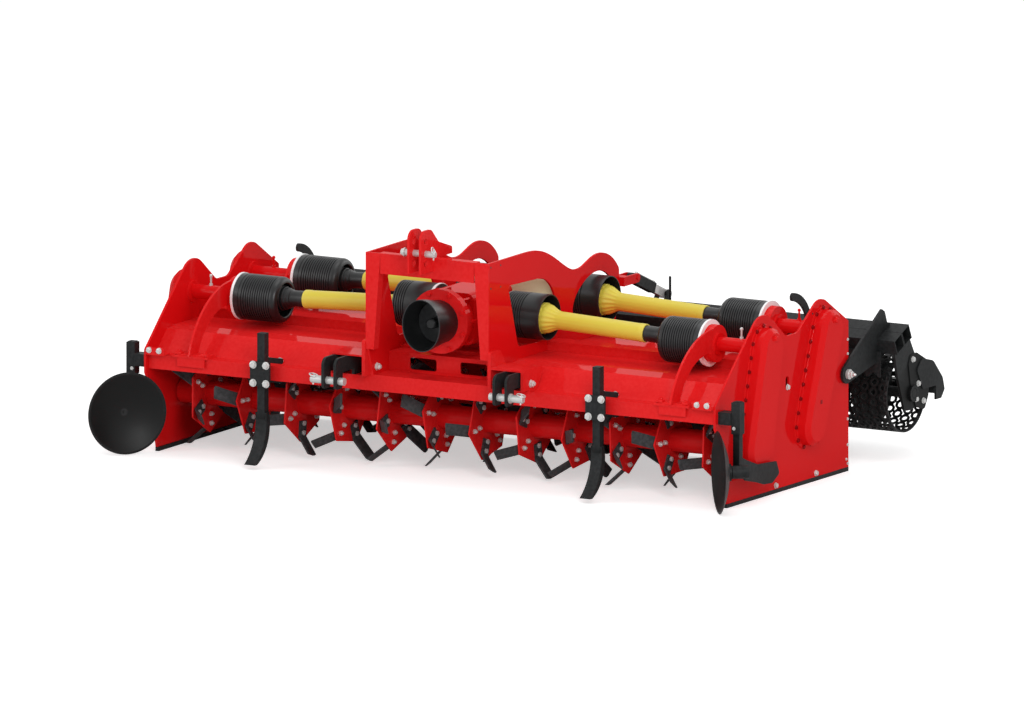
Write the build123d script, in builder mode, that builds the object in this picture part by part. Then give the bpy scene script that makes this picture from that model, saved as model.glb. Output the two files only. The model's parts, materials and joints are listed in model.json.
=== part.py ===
from build123d import *
from math import cos, hypot, radians, sin, sqrt
import os

os.makedirs("parts", exist_ok=True)

# A mounted bed former, about 3 m wide: two rotors under one hood, driven from the middle through
# guarded shafts and side chain cases, with a perforated roller behind. Millimetres, +Z up, the
# tractor in front at -Y. Profiles give lengths from the side plates' front edge and heights from
# their lower edge.

plate_front = -895.0
skid_height = 20.0

# Side plates
plate_x = 1560.0
plate_t = 12.0
plate_length = 1273.0
plate_nose = 110.0
plate_inner = plate_x - plate_t
skid_t = 18.0

# Front beam
beam_size = 70.0
beam_wall = 6.0
beam_y = 28.0
beam_z = 392.0
beam_top = beam_z + beam_size
beam_back = beam_y + beam_size

# Hood over the rotors
hood_t = 5.0
hood_knee_y = 200.0
hood_knee_z = 558.0
deck_y = 290.0
deck_z = 566.0
stiffener_y = 590.0
stiffener_w = 100.0
stiffener_h = 44.0
board_y = 1255.0
board_bow = 145.0
board_knee_z = 400.0
board_foot = 60.0
deck_end = board_y - board_bow

# Drive lines
gear_z = 745.0
drive_front_y = 446.0
drive_rear_y = 1022.0
drive_outer_z = 700.0
shaft_r = 20.0
shaft_gap = 0.3
cup_r = 110.0
cup_wall = 5.0
cup_in_start = 192.0
cup_in_end = 400.0
cup_out_start = 1038.0
cup_out_end = 1269.0
ring_t = 12.0
tube_r = 43.5
cone_r = 74.0
tube_start = 364.0
cone_end = 455.0
tube_end = 950.0
slip_r = 34.0
slip_start = 915.0
slip_cone = 980.0
slip_end = 1110.0
slip_cone_r = 78.0
arm_x = 1308.0
arm_t = 12.0
arm_boss_r = 90.0
arm_foot_y = -6.0
arm_foot_t = 12.0
stub_r = 34.5
stub_flange_r = 52.5
stub_flange_t = 12.0

# Chain cases on the side plates
case_depth = 72.0
case_bevel = 22.0
case_flange = 16.0
case_flange_t = 6.0

# Rotors
rotor_front_y = 338.0
rotor_front_z = 240.0
rotor_front_r = 253.0
rotor_rear_y = 860.0
rotor_rear_z = 262.0
rotor_rear_r = 245.0
rotor_tube_r = 57.0
flange_count = 12
flange_pitch = 253.3
flange_r = 190.0
flange_t = 8.0
blade_t = 8.0
blade_root = 88.0
blade_bend = 160.0
blade_reach = 84.0
blade_fillet = 24.0
blade_outline = ((-31, 88), (31, 88), (31, 150), (70, 238), (15, 252), (-31, 150))
blades_a_side = 3
blade_step = 27.0
rotor_gap = 6.0
weld_gap = 0.05
journal_r = 40.0
journal_gap = 0.05
journal_end = 0.5

# Headstock
head_x = 335.0
head_t = 12.0
head_face = -26.0
head_depth = 46.0
head_wall = 8.0
head_foot = 602.0
head_top = 1069.0
head_bar = 99.0
leg_top_w = 80.0
leg_foot_w = 44.0
cheek_t = 17.0
cheek_front = -33.0
cheek_back = 120.0
cheek_foot = 470.0
cheek_top = 645.0
shelf_t = 8.0
shelf_x = 515.0
shelf_z = 570.0
shelf_back_y = 150.0

# Hitch
ear_t = 14.0
ear_inner_x = 434.0
ear_outer_x = 500.0
ear_front = -150.0
ear_foot = 413.0
ear_leg = 68.0
ear_bar_z = 490.0
lower_pin_r = 18.3
lower_pin_y = -118.0
lower_pin_z = 451.0
lower_pin_in = 397.0
lower_pin_out = 580.0
mast_x = 32.0
mast_t = 12.0
mast_front = -150.0
mast_rise = 146.0
mast_top_z = head_top + mast_rise
mast_round = 46.0
mast_foot = 1009.0
mast_back = 150.0
top_pin_r = 15.8
top_pin_y = -104.0
top_pin_z = 1103.0
top_pin_half = 92.0

# Gearboxes and input guard
pto_mouth_r = 125.0
pto_root_r = 103.0
pto_guard_wall = 4.0
pto_guard_front = -42.0
pto_window_y = 8.0
pto_window_r = 36.0
input_r = 22.2
input_front = 10.0
input_chamfer = 3.0
gear_face = 90.0
gear_face_r = 155.0
gear_face_end = 205.0
gear_body = 125.0
gear_rear_body = 110.0
gear_link_r = 60.0
cradle_t = 8.0
cradle_plate_y = 179.0
cradle_step_y = 308.0
cradle_end = 560.0
board_plate_t = 4.0

# Track tines
tine_x = 915.0
tine_size = 40.0
tine_front = -12.0
tine_top = 622.0
clamp_w = 106.0
clamp_h = 119.0
clamp_t = 12.0
share_w = 60.0

# Side discs
disc_x = 1614.0
disc_y = -65.0
disc_z = 183.0
disc_r = 198.0
disc_dish = 48.0
disc_t = 5.0
disc_yaw = 40.0
disc_boss_r = 42.0
disc_boss = 10.0
hub_r = 31.5
hub_length = 80.0
hub_gap = 5.0
axle_r = 14.0
hub_cap = 8.0
shank_x = 1651.0
shank_y = 54.0
shank_size = 34.0
shank_top = 512.0
sleeve_size = 46.0
sleeve_foot = 355.0
sleeve_top = 508.0
sleeve_stub = 60.0
wing_t = 6.0

# Roller and its frame
pivot_y = 1233.0
pivot_z = 454.0
pivot_r = 15.0
pivot_gap = 0.05
roller_arm_t = 12.0
roller_arm_gap = 6.0
roller_arm_x = plate_x + roller_arm_gap
roller_arm_eye = 46.0
pair_tilt = 24.0
pair_size = 75.0
pair_wall = 5.0
pair_y = 1567.0
pair_z = 555.0
pair_gap = 2.0
pair_half = 1670.0
horn = ((61.4, 147.8), (80.0, 123.1), (77.8, 61.7))
end_arm_x = 1644.0
end_arm_t = 12.0
roller_y = 1713.0
roller_z = 294.0
roller_r = 190.0
roller_wall = 6.0
roller_half = 1625.0
roller_end_t = 10.0
roller_axle_r = 25.0
bearing_cap_r = 40.0
bearing_cap_t = 14.0
scraper_y = 1958.0
scraper_z = 284.0
scraper_size = 50.0
scraper_wall = 4.0

# Roller adjusters
fork_x = 329.0
fork_y = 1359.0
fork_z = 790.0
fork_gap = 46.0
fork_t = 10.0
eye_y = 1660.0
eye_z = 665.0
link_w = 36.0
link_h = 50.0
link_wall = 4.0
link_start = 26.0
link_end = 212.0
rod_gap = 0.5
rod_tail = 230.0
link_pin_r = 11.0
link_pin_gap = 0.05
lug_pin_r = 8.0
rod_eye_gap = 7.0
link_eye_r = 22.0
fork_block = 50.0
pin_end = 4.0
lug_t = 10.0


def side(x):
    """Plane across the machine at x: local x is length, local y is height, extruding to +X."""
    return Plane(origin=(x, plate_front, skid_height), x_dir=(0, 1, 0), z_dir=(1, 0, 0))


def facing(y):
    """Upright plane at length y: local x is width, local y is height, extruding to the front."""
    return Plane(origin=(0, plate_front + y, skid_height), x_dir=(1, 0, 0), z_dir=(0, -1, 0))


def level(z):
    """Level plane at height z: local x is width, local y is length, extruding upwards."""
    return Plane(origin=(0, plate_front, skid_height + z), x_dir=(1, 0, 0), z_dir=(0, 0, 1))


def place(x, y, z):
    """A point of the machine from its width, length and height."""
    return (x, plate_front + y, skid_height + z)


def across(y, z):
    """Upright plane whose local x runs along a cross shaft's centre line, at length y, height z."""
    return Plane(origin=place(0, y, z), x_dir=(1, 0, 0), z_dir=(0, -1, 0))


def save(name, piece):
    """Label one finished piece and write it."""
    piece.label = name
    export_step(piece, f"parts/{name}.step")


hands = (("left", -1), ("right", 1))

# Side plates: two rounded humps over the drive axes, a sloping nose and a slot for the skid bolt.
# Each corner of the outline is length, height and corner radius.
plate_outline = (
    (0, 375, 0),
    (0, 487, 12),
    (449, 893, 128),
    (676, 722, 60),
    (790, 720, 60),
    (1003, 868, 105),
    (plate_length, 704, 12),
    (plate_length, 0, 0),
    (plate_nose, 0, 0),
    (37, 317, 30),
)
slot_w = 32.0
slot_h = 64.0
slot_y = 688.0
slot_z = 494.0
for hand, sign in hands:
    with BuildPart() as side_plate:
        with BuildSketch(side(sign * plate_x)):
            with BuildLine():
                FilletPolyline(
                    *[(y, z) for y, z, _ in plate_outline],
                    radius=[r for _, _, r in plate_outline],
                    close=True,
                )
            make_face()
            with Locations((slot_y, slot_z)):
                SlotOverall(slot_h, slot_w, rotation=90, mode=Mode.SUBTRACT)
            with Locations(
                (rotor_front_y, rotor_front_z),
                (rotor_rear_y, rotor_rear_z),
            ):
                Circle(journal_r + journal_gap, mode=Mode.SUBTRACT)
            with Locations((pivot_y, pivot_z)):
                Circle(pivot_r, mode=Mode.SUBTRACT)
        extrude(amount=-sign * plate_t)
    save(f"side_plate_{hand}", side_plate.part)

# Wear skids under the side plates
with BuildPart() as skids:
    with BuildSketch(level(-skid_height)):
        with Locations((plate_x - skid_t / 2, (plate_nose + plate_length) / 2)):
            Rectangle(skid_t, plate_length - plate_nose)
    extrude(amount=skid_height)
    mirror(about=Plane.YZ)
save("wear_skids", skids.part)

# Front beam: a square tube between the side plates
with BuildPart() as beam:
    with BuildSketch(side(-plate_inner)):
        with Locations((beam_y + beam_size / 2, beam_z + beam_size / 2)):
            Rectangle(beam_size, beam_size)
            Rectangle(beam_size - 2 * beam_wall, beam_size - 2 * beam_wall, mode=Mode.SUBTRACT)
    extrude(amount=2 * plate_inner)
save("front_beam", beam.part)

# Hood: a sloping front sheet on each side of the gearbox recess, notched for the tines' clamps, a
# flat deck, a stiffener across it and a curved rear board
notch_gap = 2.0
with BuildPart() as hood_front:
    with BuildSketch(side(head_x)):
        with BuildLine():
            Polyline(
                (beam_back, beam_top),
                (hood_knee_y, hood_knee_z),
                (deck_y, deck_z),
                (deck_y, deck_z - hood_t),
                (hood_knee_y + hood_t / 2, hood_knee_z - hood_t),
                (beam_back, beam_top - 1.5 * hood_t),
                close=True,
            )
        make_face()
    extrude(amount=plate_inner - head_x)
    with BuildSketch(level(beam_z)):
        with Locations((tine_x, beam_back)):
            Rectangle(clamp_w + 2 * notch_gap, 2 * (clamp_t + notch_gap))
    extrude(amount=2 * beam_size, mode=Mode.SUBTRACT)
    mirror(about=Plane.YZ)
save("hood_front", hood_front.part)

with BuildPart() as hood_deck:
    with BuildSketch(side(-plate_inner)):
        with Locations(((deck_y + deck_end) / 2, deck_z - hood_t / 2)):
            Rectangle(deck_end - deck_y, hood_t)
    extrude(amount=2 * plate_inner)
save("hood_deck", hood_deck.part)

bow_y = deck_end + 0.69 * board_bow
bow_z = deck_z - 0.37 * (deck_z - board_knee_z)
with BuildPart() as rear_board:
    with BuildSketch(side(-plate_inner)):
        with BuildLine():
            outer_bow = ThreePointArc((deck_end, deck_z), (bow_y, bow_z), (board_y, board_knee_z))
            Line(outer_bow @ 1, (board_y, board_foot))
            Line((board_y, board_foot), (board_y - hood_t, board_foot))
            Line((board_y - hood_t, board_foot), (board_y - hood_t, board_knee_z))
            inner_bow = ThreePointArc(
                (board_y - hood_t, board_knee_z),
                (bow_y - 0.6 * hood_t, bow_z - 0.8 * hood_t),
                (deck_end, deck_z - hood_t),
            )
            Line(inner_bow @ 1, outer_bow @ 0)
        make_face()
    extrude(amount=2 * plate_inner)
save("rear_board", rear_board.part)

with BuildPart() as stiffener:
    with BuildSketch(side(head_x)):
        with Locations((stiffener_y, deck_z + stiffener_h / 2)):
            Rectangle(stiffener_w, stiffener_h)
    extrude(amount=plate_inner - head_x)
    mirror(about=Plane.YZ)
save("hood_stiffener", stiffener.part)

# Headstock legs: channels whose inner edges slant, open at the back
with BuildPart() as legs:
    for wall, start, mode in ((0, 0, Mode.ADD), (head_wall, head_wall, Mode.SUBTRACT)):
        with BuildSketch(facing(head_face + start)):
            with BuildLine():
                Polyline(
                    (head_x, head_foot),
                    (head_x, head_top),
                    (head_x - leg_top_w + wall, head_top),
                    (head_x - leg_foot_w + wall, head_foot),
                    close=True,
                )
            make_face()
        extrude(amount=-head_depth, mode=mode)
    mirror(about=Plane.YZ)
save("headstock_legs", legs.part)

bar_half = head_x - leg_top_w
with BuildPart() as crossbar:
    with BuildSketch(facing(head_face)):
        with Locations((0, head_top - head_bar / 2)):
            Rectangle(2 * bar_half, head_bar)
    extrude(amount=-head_depth)
    with BuildSketch(facing(head_face + head_wall)):
        with Locations((0, head_top - head_bar / 2)):
            Rectangle(2 * bar_half, head_bar - 2 * head_wall)
    extrude(amount=-head_depth, mode=Mode.SUBTRACT)
save("headstock_crossbar", crossbar.part)

# Centre plates: a high front over the input gearbox, a wave over the rear one, an arch for each
# drive shaft. Each corner of the outline is length, height and corner radius.
centre_front = head_face + head_wall
centre_back = 1227.0
centre_outline = (
    (centre_front, head_foot, 0),
    (centre_front, head_top, 0),
    (430, head_top, 150),
    (650, 960, 40),
    (715, 928, 60),
    (868, 902, 90),
    (1010, 965, 120),
    (1150, 938, 60),
    (centre_back, 857, 8),
    (centre_back, 740, 20),
    (deck_end + 70, deck_z + 6, 0),
    (deck_end, deck_z, 0),
    (deck_y, deck_z, 0),
    (deck_y, deck_z - hood_t - cradle_t, 0),
    (cradle_plate_y + cradle_t, beam_top, 0),
    (beam_y, beam_top, 0),
)
front_arch = (
    (262, 622, 40),
    (226, 796, 60),
    (163, 934, 14),
    (440, 925, 40),
    (600, 850, 60),
    (655, 728, 50),
    (620, 622, 40),
)
rear_arch = (
    (815, 622, 40),
    (775, 722, 60),
    (850, 832, 90),
    (1027, 874, 130),
    (1178, 800, 70),
    (1155, 622, 40),
)
for hand, sign in hands:
    with BuildPart() as centre_plate:
        with BuildSketch(side(sign * head_x)):
            with BuildLine():
                FilletPolyline(
                    *[(y, z) for y, z, _ in centre_outline],
                    radius=[r for _, _, r in centre_outline],
                    close=True,
                )
            make_face()
            for arch in (front_arch, rear_arch):
                with BuildLine():
                    FilletPolyline(
                        *[(y, z) for y, z, _ in arch],
                        radius=[r for _, _, r in arch],
                        close=True,
                    )
                make_face(mode=Mode.SUBTRACT)
        extrude(amount=-sign * head_t)
    save(f"centre_plate_{hand}", centre_plate.part)

# Lower cheeks on the centre plates, with the shelves and gusseted outer plates over the hitch bays
cheek_outline = (
    (cheek_front, cheek_foot, 0),
    (cheek_front, cheek_top, 16),
    (60, cheek_top, 20),
    (cheek_back, 560, 20),
    (cheek_back, 520, 0),
    (beam_back, beam_top, 0),
    (beam_y, beam_top, 0),
    (beam_y, cheek_foot, 0),
)
hitch_plate_outline = (
    (cheek_front, cheek_foot, 0),
    (cheek_front, shelf_z - shelf_t, 0),
    (shelf_back_y, shelf_z - shelf_t, 0),
    (shelf_back_y, 540, 0),
    (beam_back, beam_top, 0),
    (beam_y, beam_top, 0),
    (beam_y, cheek_foot, 0),
)
cheek_x = head_x + cheek_t
with BuildPart() as cheeks:
    with BuildSketch(side(head_x)):
        with BuildLine():
            FilletPolyline(
                *[(y, z) for y, z, _ in cheek_outline],
                radius=[r for _, _, r in cheek_outline],
                close=True,
            )
        make_face()
    extrude(amount=cheek_t)
    mirror(about=Plane.YZ)
save("headstock_cheeks", cheeks.part)

with BuildPart() as bays:
    with BuildSketch(side(shelf_x)):
        with BuildLine():
            Polyline(*[(y, z) for y, z, _ in hitch_plate_outline], close=True)
        make_face()
    extrude(amount=ear_t)
    with BuildSketch(level(shelf_z - shelf_t)):
        with Locations(((cheek_x + shelf_x + ear_t) / 2, (cheek_front + shelf_back_y) / 2)):
            Rectangle(shelf_x + ear_t - cheek_x, shelf_back_y - cheek_front)
    extrude(amount=shelf_t)
    mirror(about=Plane.YZ)
save("hitch_bays", bays.part)

# Lower hitch ears: inverted L plates over the beam
ear_top = shelf_z - shelf_t
ear_outline = (
    (ear_front, ear_foot, 20),
    (ear_front, ear_top, 40),
    (beam_back, ear_top, 0),
    (beam_back, beam_top, 0),
    (beam_y, beam_top, 0),
    (beam_y, ear_bar_z, 0),
    (ear_front + ear_leg, ear_bar_z, 8),
    (ear_front + ear_leg, ear_foot, 20),
)
with BuildPart() as ears:
    for ear_x in (ear_inner_x - ear_t / 2, ear_outer_x - ear_t / 2):
        with BuildSketch(side(ear_x)):
            with BuildLine():
                FilletPolyline(
                    *[(y, z) for y, z, _ in ear_outline],
                    radius=[r for _, _, r in ear_outline],
                    close=True,
                )
            make_face()
            with Locations((lower_pin_y, lower_pin_z)):
                Circle(lower_pin_r, mode=Mode.SUBTRACT)
        extrude(amount=ear_t)
    mirror(about=Plane.YZ)
save("hitch_ears", ears.part)

pin_collar = 6.0
pin_chamfer = 4.0
with BuildPart() as lower_pins:
    with BuildSketch(side(lower_pin_in)):
        with Locations((lower_pin_y, lower_pin_z)):
            Circle(lower_pin_r)
    extrude(amount=lower_pin_out - lower_pin_in)
    with BuildSketch(side(ear_outer_x + ear_t / 2)):
        with Locations((lower_pin_y, lower_pin_z)):
            Circle(lower_pin_r + pin_collar)
    extrude(amount=pin_collar)
    chamfer(lower_pins.edges().group_by(Axis.X)[-1], pin_chamfer)
    mirror(about=Plane.YZ)
save("lower_hitch_pins", lower_pins.part)

# Mast for the top link: two ears on the crossbar, joined at the foot
upper_hole_down = 54.0
lower_hole_up = 44.0
mast_flat = 6.0
mast_holes = (mast_top_z - upper_hole_down, top_pin_z, mast_foot + lower_hole_up)
mast_outline = (
    (mast_front, mast_foot, 0),
    (mast_front, mast_top_z, mast_round),
    (mast_front + 2 * mast_round + mast_flat, mast_top_z, mast_round),
    (19, head_top + 0.52 * mast_rise, 30),
    (mast_back, head_top + 0.23 * mast_rise, 16),
    (mast_back, head_top, 0),
    (head_face, head_top, 0),
    (head_face, mast_foot, 0),
)
with BuildPart() as mast:
    for mast_sign in (-1, 1):
        with BuildSketch(side(mast_sign * mast_x - mast_t / 2)):
            with BuildLine():
                FilletPolyline(
                    *[(y, z) for y, z, _ in mast_outline],
                    radius=[r for _, _, r in mast_outline],
                    close=True,
                )
            make_face()
            with Locations(*[(top_pin_y, z) for z in mast_holes]):
                Circle(top_pin_r, mode=Mode.SUBTRACT)
        extrude(amount=mast_t)
    with BuildSketch(level(head_top)):
        with Locations((0, (head_face + mast_back) / 2)):
            Rectangle(2 * mast_x, mast_back - head_face)
    extrude(amount=head_wall)
save("top_link_mast", mast.part)

top_collar_in = 14.0
with BuildPart() as top_pin:
    with BuildSketch(side(-top_pin_half)):
        with Locations((top_pin_y, top_pin_z)):
            Circle(top_pin_r)
    extrude(amount=2 * top_pin_half)
    with BuildSketch(side(-top_pin_half + top_collar_in)):
        with Locations((top_pin_y, top_pin_z)):
            Circle(top_pin_r + pin_collar)
    extrude(amount=pin_collar)
    chamfer(top_pin.edges().group_by(Axis.X)[-1], pin_chamfer)
save("top_link_pin", top_pin.part)

# Input gearbox: a round ribbed face, a square body and a bearing boss on each side
gear_boss_r = 88.0
gear_rib_count = 8
gear_rib_w = 10.0
gear_rib_in = 34.0
gear_rib_size = 60.0
gear_rib_length = 70.0
gear_plate_t = 40.0
gear_neck_in = 32.0
gear_round = 40.0
gear_axis_front = Plane(origin=place(0, gear_face, gear_z), x_dir=(1, 0, 0), z_dir=(0, 1, 0))
gear_axis_rear = Plane(origin=place(0, drive_rear_y, gear_z), x_dir=(1, 0, 0), z_dir=(0, 1, 0))
gear_foot_w = 90.0
with BuildPart() as gearbox_front:
    with BuildSketch(gear_axis_front):
        Circle(gear_face_r)
    extrude(amount=gear_plate_t)
    with BuildSketch(gear_axis_front.offset(gear_plate_t)):
        Circle(gear_face_r - gear_neck_in)
    extrude(amount=gear_face_end - gear_face - gear_plate_t)
    with BuildSketch(gear_axis_front.offset(gear_plate_t)):
        with PolarLocations(gear_face_r - gear_rib_in, gear_rib_count):
            Rectangle(gear_rib_size, gear_rib_w)
    extrude(amount=gear_rib_length)
    with BuildSketch(gear_axis_front.offset(gear_face_end - gear_face)):
        RectangleRounded(2 * gear_body, 2 * gear_body, gear_round)
    extrude(amount=drive_front_y + gear_body - gear_face_end)
    with BuildSketch(side(-cup_in_start)):
        with Locations((drive_front_y, gear_z)):
            Circle(gear_boss_r)
    extrude(amount=2 * cup_in_start)
    with BuildSketch(level(deck_z + cradle_t)):
        with Locations((0, drive_front_y)):
            Rectangle(2 * gear_body, gear_foot_w)
    extrude(amount=gear_z - gear_body - deck_z)
save("gearbox_front", gearbox_front.part)

gear_link_start = drive_front_y + gear_body
with BuildPart() as gearbox_rear:
    with BuildSketch(gear_axis_front.offset(gear_link_start - gear_face)):
        Circle(gear_link_r)
    extrude(amount=drive_rear_y - gear_link_start)
    with BuildSketch(gear_axis_rear.offset(-gear_rear_body)):
        RectangleRounded(2 * gear_rear_body, 2 * gear_rear_body, gear_round)
    extrude(amount=2 * gear_rear_body)
    with BuildSketch(side(-cup_in_start)):
        with Locations((drive_rear_y, gear_z)):
            Circle(gear_boss_r)
    extrude(amount=2 * cup_in_start)
    with BuildSketch(level(deck_z)):
        with Locations((0, drive_rear_y)):
            Rectangle(2 * gear_rear_body, gear_foot_w)
    extrude(amount=gear_z - gear_rear_body - deck_z)
save("gearbox_rear", gearbox_rear.part)

with BuildPart() as input_shaft:
    with BuildSketch(gear_axis_front):
        Circle(input_r)
    extrude(amount=input_front - gear_face)
    chamfer(input_shaft.edges().group_by(Axis.Y)[0], input_chamfer)
save("input_shaft", input_shaft.part)

# Input guard: a cone, wider at its mouth, with a round window in each side
with BuildPart() as pto_guard:
    with BuildSketch(side(0)):
        with BuildLine():
            Polyline(
                (pto_guard_front, gear_z + pto_mouth_r),
                (gear_face, gear_z + pto_root_r),
                (gear_face, gear_z + pto_root_r - pto_guard_wall),
                (pto_guard_front, gear_z + pto_mouth_r - pto_guard_wall),
                close=True,
            )
        make_face()
    revolve(axis=Axis(place(0, gear_face, gear_z), (0, 1, 0)))
    with BuildSketch(side(-pto_mouth_r)):
        with Locations((pto_window_y, gear_z)):
            Ellipse(pto_window_r, pto_window_r * 1.3)
    extrude(amount=2 * pto_mouth_r, mode=Mode.SUBTRACT)
save("input_guard", pto_guard.part)

# Cradle under the input gearbox: a floor on the beam, an upright plate with two windows at the back
# of the recess, a low shelf under the deck and an upper shelf on it
cradle_half = head_x - head_t
window_x = 138.0
window_w = 146.0
window_h = 58.0
window_round = 12.0
shelf_top_z = deck_z - hood_t
cradle_shelves = (
    (beam_top, beam_y, cradle_plate_y + cradle_t),
    (shelf_top_z - cradle_t, cradle_plate_y, cradle_step_y),
    (deck_z, deck_y, cradle_end),
)
with BuildPart() as cradle:
    with BuildSketch(facing(cradle_plate_y)):
        with Locations((0, (beam_top + shelf_top_z) / 2)):
            Rectangle(2 * cradle_half, shelf_top_z - beam_top)
            with GridLocations(2 * window_x, 1, 2, 1):
                RectangleRounded(window_w, window_h, window_round, mode=Mode.SUBTRACT)
    extrude(amount=-cradle_t)
    for shelf_foot, shelf_front, shelf_back in cradle_shelves:
        with BuildSketch(level(shelf_foot)):
            with Locations((0, (shelf_front + shelf_back) / 2)):
                Rectangle(2 * cradle_half, shelf_back - shelf_front)
        extrude(amount=cradle_t)
save("gearbox_cradle", cradle.part)

# A plain plate standing across between the gearboxes
board_y_back = 640.0
board_left = -181.0
board_right = head_x - head_t
board_top_z = 884.0
with BuildPart() as cross_plate:
    with BuildSketch(facing(board_y_back)):
        with Locations(((board_left + board_right) / 2, (deck_z + board_top_z) / 2)):
            Rectangle(board_right - board_left, board_top_z - deck_z)
        with Locations((0, gear_z)):
            Circle(gear_link_r, mode=Mode.SUBTRACT)
    extrude(amount=-board_plate_t)
save("cross_plate", cross_plate.part)

# Drive shafts: bars from the gearbox bosses to the bearings on the arms, each with a yoke at both
# ends, and their guards. Rows are length along the machine.
drives = (drive_front_y, drive_rear_y)
yoke_r = 52.0
yoke_length = 70.0
joint_in = cup_in_start + yoke_length / 2
joint_out = arm_x - yoke_length / 2
drive_run = joint_out - joint_in
drive_fall = gear_z - drive_outer_z
drive_dir = (drive_run, 0, -drive_fall)


def along(y):
    """Plane square to a right-hand drive shaft at its inner joint, extruding outwards along it."""
    return Plane(origin=place(joint_in, y, gear_z), x_dir=(0, 1, 0), z_dir=drive_dir)


def upright(y):
    """Plane through a right-hand drive shaft: local x runs outwards along it, local y is up."""
    return Plane(origin=place(joint_in, y, gear_z), x_dir=drive_dir, z_dir=(0, -1, 0))


with BuildPart() as shafts:
    for drive_y in drives:
        with BuildSketch(along(drive_y)):
            Circle(shaft_r)
        extrude(amount=hypot(drive_run, drive_fall))
        with BuildSketch(side(cup_in_start)):
            with Locations((drive_y, gear_z)):
                Circle(yoke_r)
        extrude(amount=yoke_length)
        with BuildSketch(side(arm_x - yoke_length)):
            with Locations((drive_y, drive_outer_z)):
                Circle(yoke_r)
        extrude(amount=yoke_length)
    mirror(about=Plane.YZ)
save("drive_shafts", shafts.part)

# Yellow guard tubes with a cone at the gearbox end; black ones slide in their outer ends
cone_band = 34.0
cone_neck = 24.0
cone_step = 8.0
tube_bore = shaft_r + shaft_gap
slip_bore = slip_r + shaft_gap
with BuildPart() as outer_tubes:
    for drive_y in drives:
        with BuildSketch(upright(drive_y)):
            with BuildLine():
                Polyline(
                    (tube_start - joint_in, tube_bore),
                    (tube_start - joint_in, cone_r),
                    (tube_start - joint_in + cone_band, cone_r),
                    (cone_end - joint_in - cone_neck, tube_r + cone_step),
                    (cone_end - joint_in, tube_r),
                    (tube_end - joint_in, tube_r),
                    (tube_end - joint_in, slip_bore),
                    (slip_start - joint_in - 1, slip_bore),
                    (slip_start - joint_in - 1, tube_bore),
                    close=True,
                )
            make_face()
        revolve(axis=Axis(place(joint_in, drive_y, gear_z), drive_dir))
    mirror(about=Plane.YZ)
save("shaft_guards_yellow", outer_tubes.part)

slip_flare = 30.0
slip_step = 14.0
with BuildPart() as slip_tubes:
    for drive_y in drives:
        with BuildSketch(upright(drive_y)):
            with BuildLine():
                Polyline(
                    (slip_start - joint_in, tube_bore),
                    (slip_start - joint_in, slip_r),
                    (slip_cone - joint_in, slip_r),
                    (slip_cone - joint_in + slip_flare, slip_r + slip_step),
                    (slip_end - joint_in - slip_flare, slip_cone_r),
                    (slip_end - joint_in, slip_cone_r),
                    (slip_end - joint_in, tube_bore),
                    close=True,
                )
            make_face()
        revolve(axis=Axis(place(joint_in, drive_y, gear_z), drive_dir))
    mirror(about=Plane.YZ)
save("shaft_guards_black", slip_tubes.part)

# Bellows cups over both ends of each shaft, ribbed outside and open towards the tube
rib_depth = 4.0
rib_pitch = 18.0


def rib_points(start, end):
    """Outer outline of a ribbed cup from start to end: flat ribs with a groove between."""
    points = []
    count = int(abs(end - start) / rib_pitch)
    step = (end - start) / count
    for i in range(count):
        rib = start + i * step
        points.append((rib, cup_r))
        points.append((rib + 0.6 * step, cup_r))
        points.append((rib + 0.6 * step, cup_r - rib_depth))
        points.append((rib + step, cup_r - rib_depth))
    return points


inner_ribs_end = 320.0
with BuildPart() as inner_cups:
    for drive_y in drives:
        with BuildSketch(across(drive_y, gear_z)):
            with BuildLine():
                Polyline(
                    (cup_in_start, yoke_r + shaft_gap),
                    *rib_points(cup_in_start, inner_ribs_end),
                    (inner_ribs_end, cup_r),
                    (cup_in_end, cup_r),
                    (cup_in_end, cup_r - cup_wall),
                    (cup_in_start + cup_wall, cup_r - rib_depth - cup_wall),
                    (cup_in_start + cup_wall, yoke_r + shaft_gap),
                    close=True,
                )
            make_face()
        revolve(axis=Axis(place(0, drive_y, gear_z), (1, 0, 0)))
    mirror(about=Plane.YZ)
save("inner_guard_cups", inner_cups.part)

cup_bore = yoke_r + 8
cup_lip = 14.0
with BuildPart() as outer_cups:
    for drive_y in drives:
        with BuildSketch(across(drive_y, drive_outer_z)):
            with BuildLine():
                Polyline(
                    (cup_out_end, cup_bore),
                    *rib_points(cup_out_end, cup_out_start + cup_lip),
                    (cup_out_start + cup_lip, cup_r),
                    (cup_out_start, cup_r),
                    (cup_out_start, cup_r - cup_wall),
                    (cup_out_end - cup_wall, cup_r - rib_depth - cup_wall),
                    (cup_out_end - cup_wall, cup_bore),
                    close=True,
                )
            make_face()
        revolve(axis=Axis(place(0, drive_y, drive_outer_z), (1, 0, 0)))
    mirror(about=Plane.YZ)
save("outer_guard_cups", outer_cups.part)

# White rings that hold the outer cups to the bearing housings
ring_step = 3.0
with BuildPart() as white_rings:
    with BuildSketch(side(cup_out_end)):
        with Locations(*[(drive_y, drive_outer_z) for drive_y in drives]):
            Circle(cup_r + ring_step)
            Circle(cup_bore, mode=Mode.SUBTRACT)
    extrude(amount=ring_t)
    mirror(about=Plane.YZ)
save("guard_rings", white_rings.part)

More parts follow.
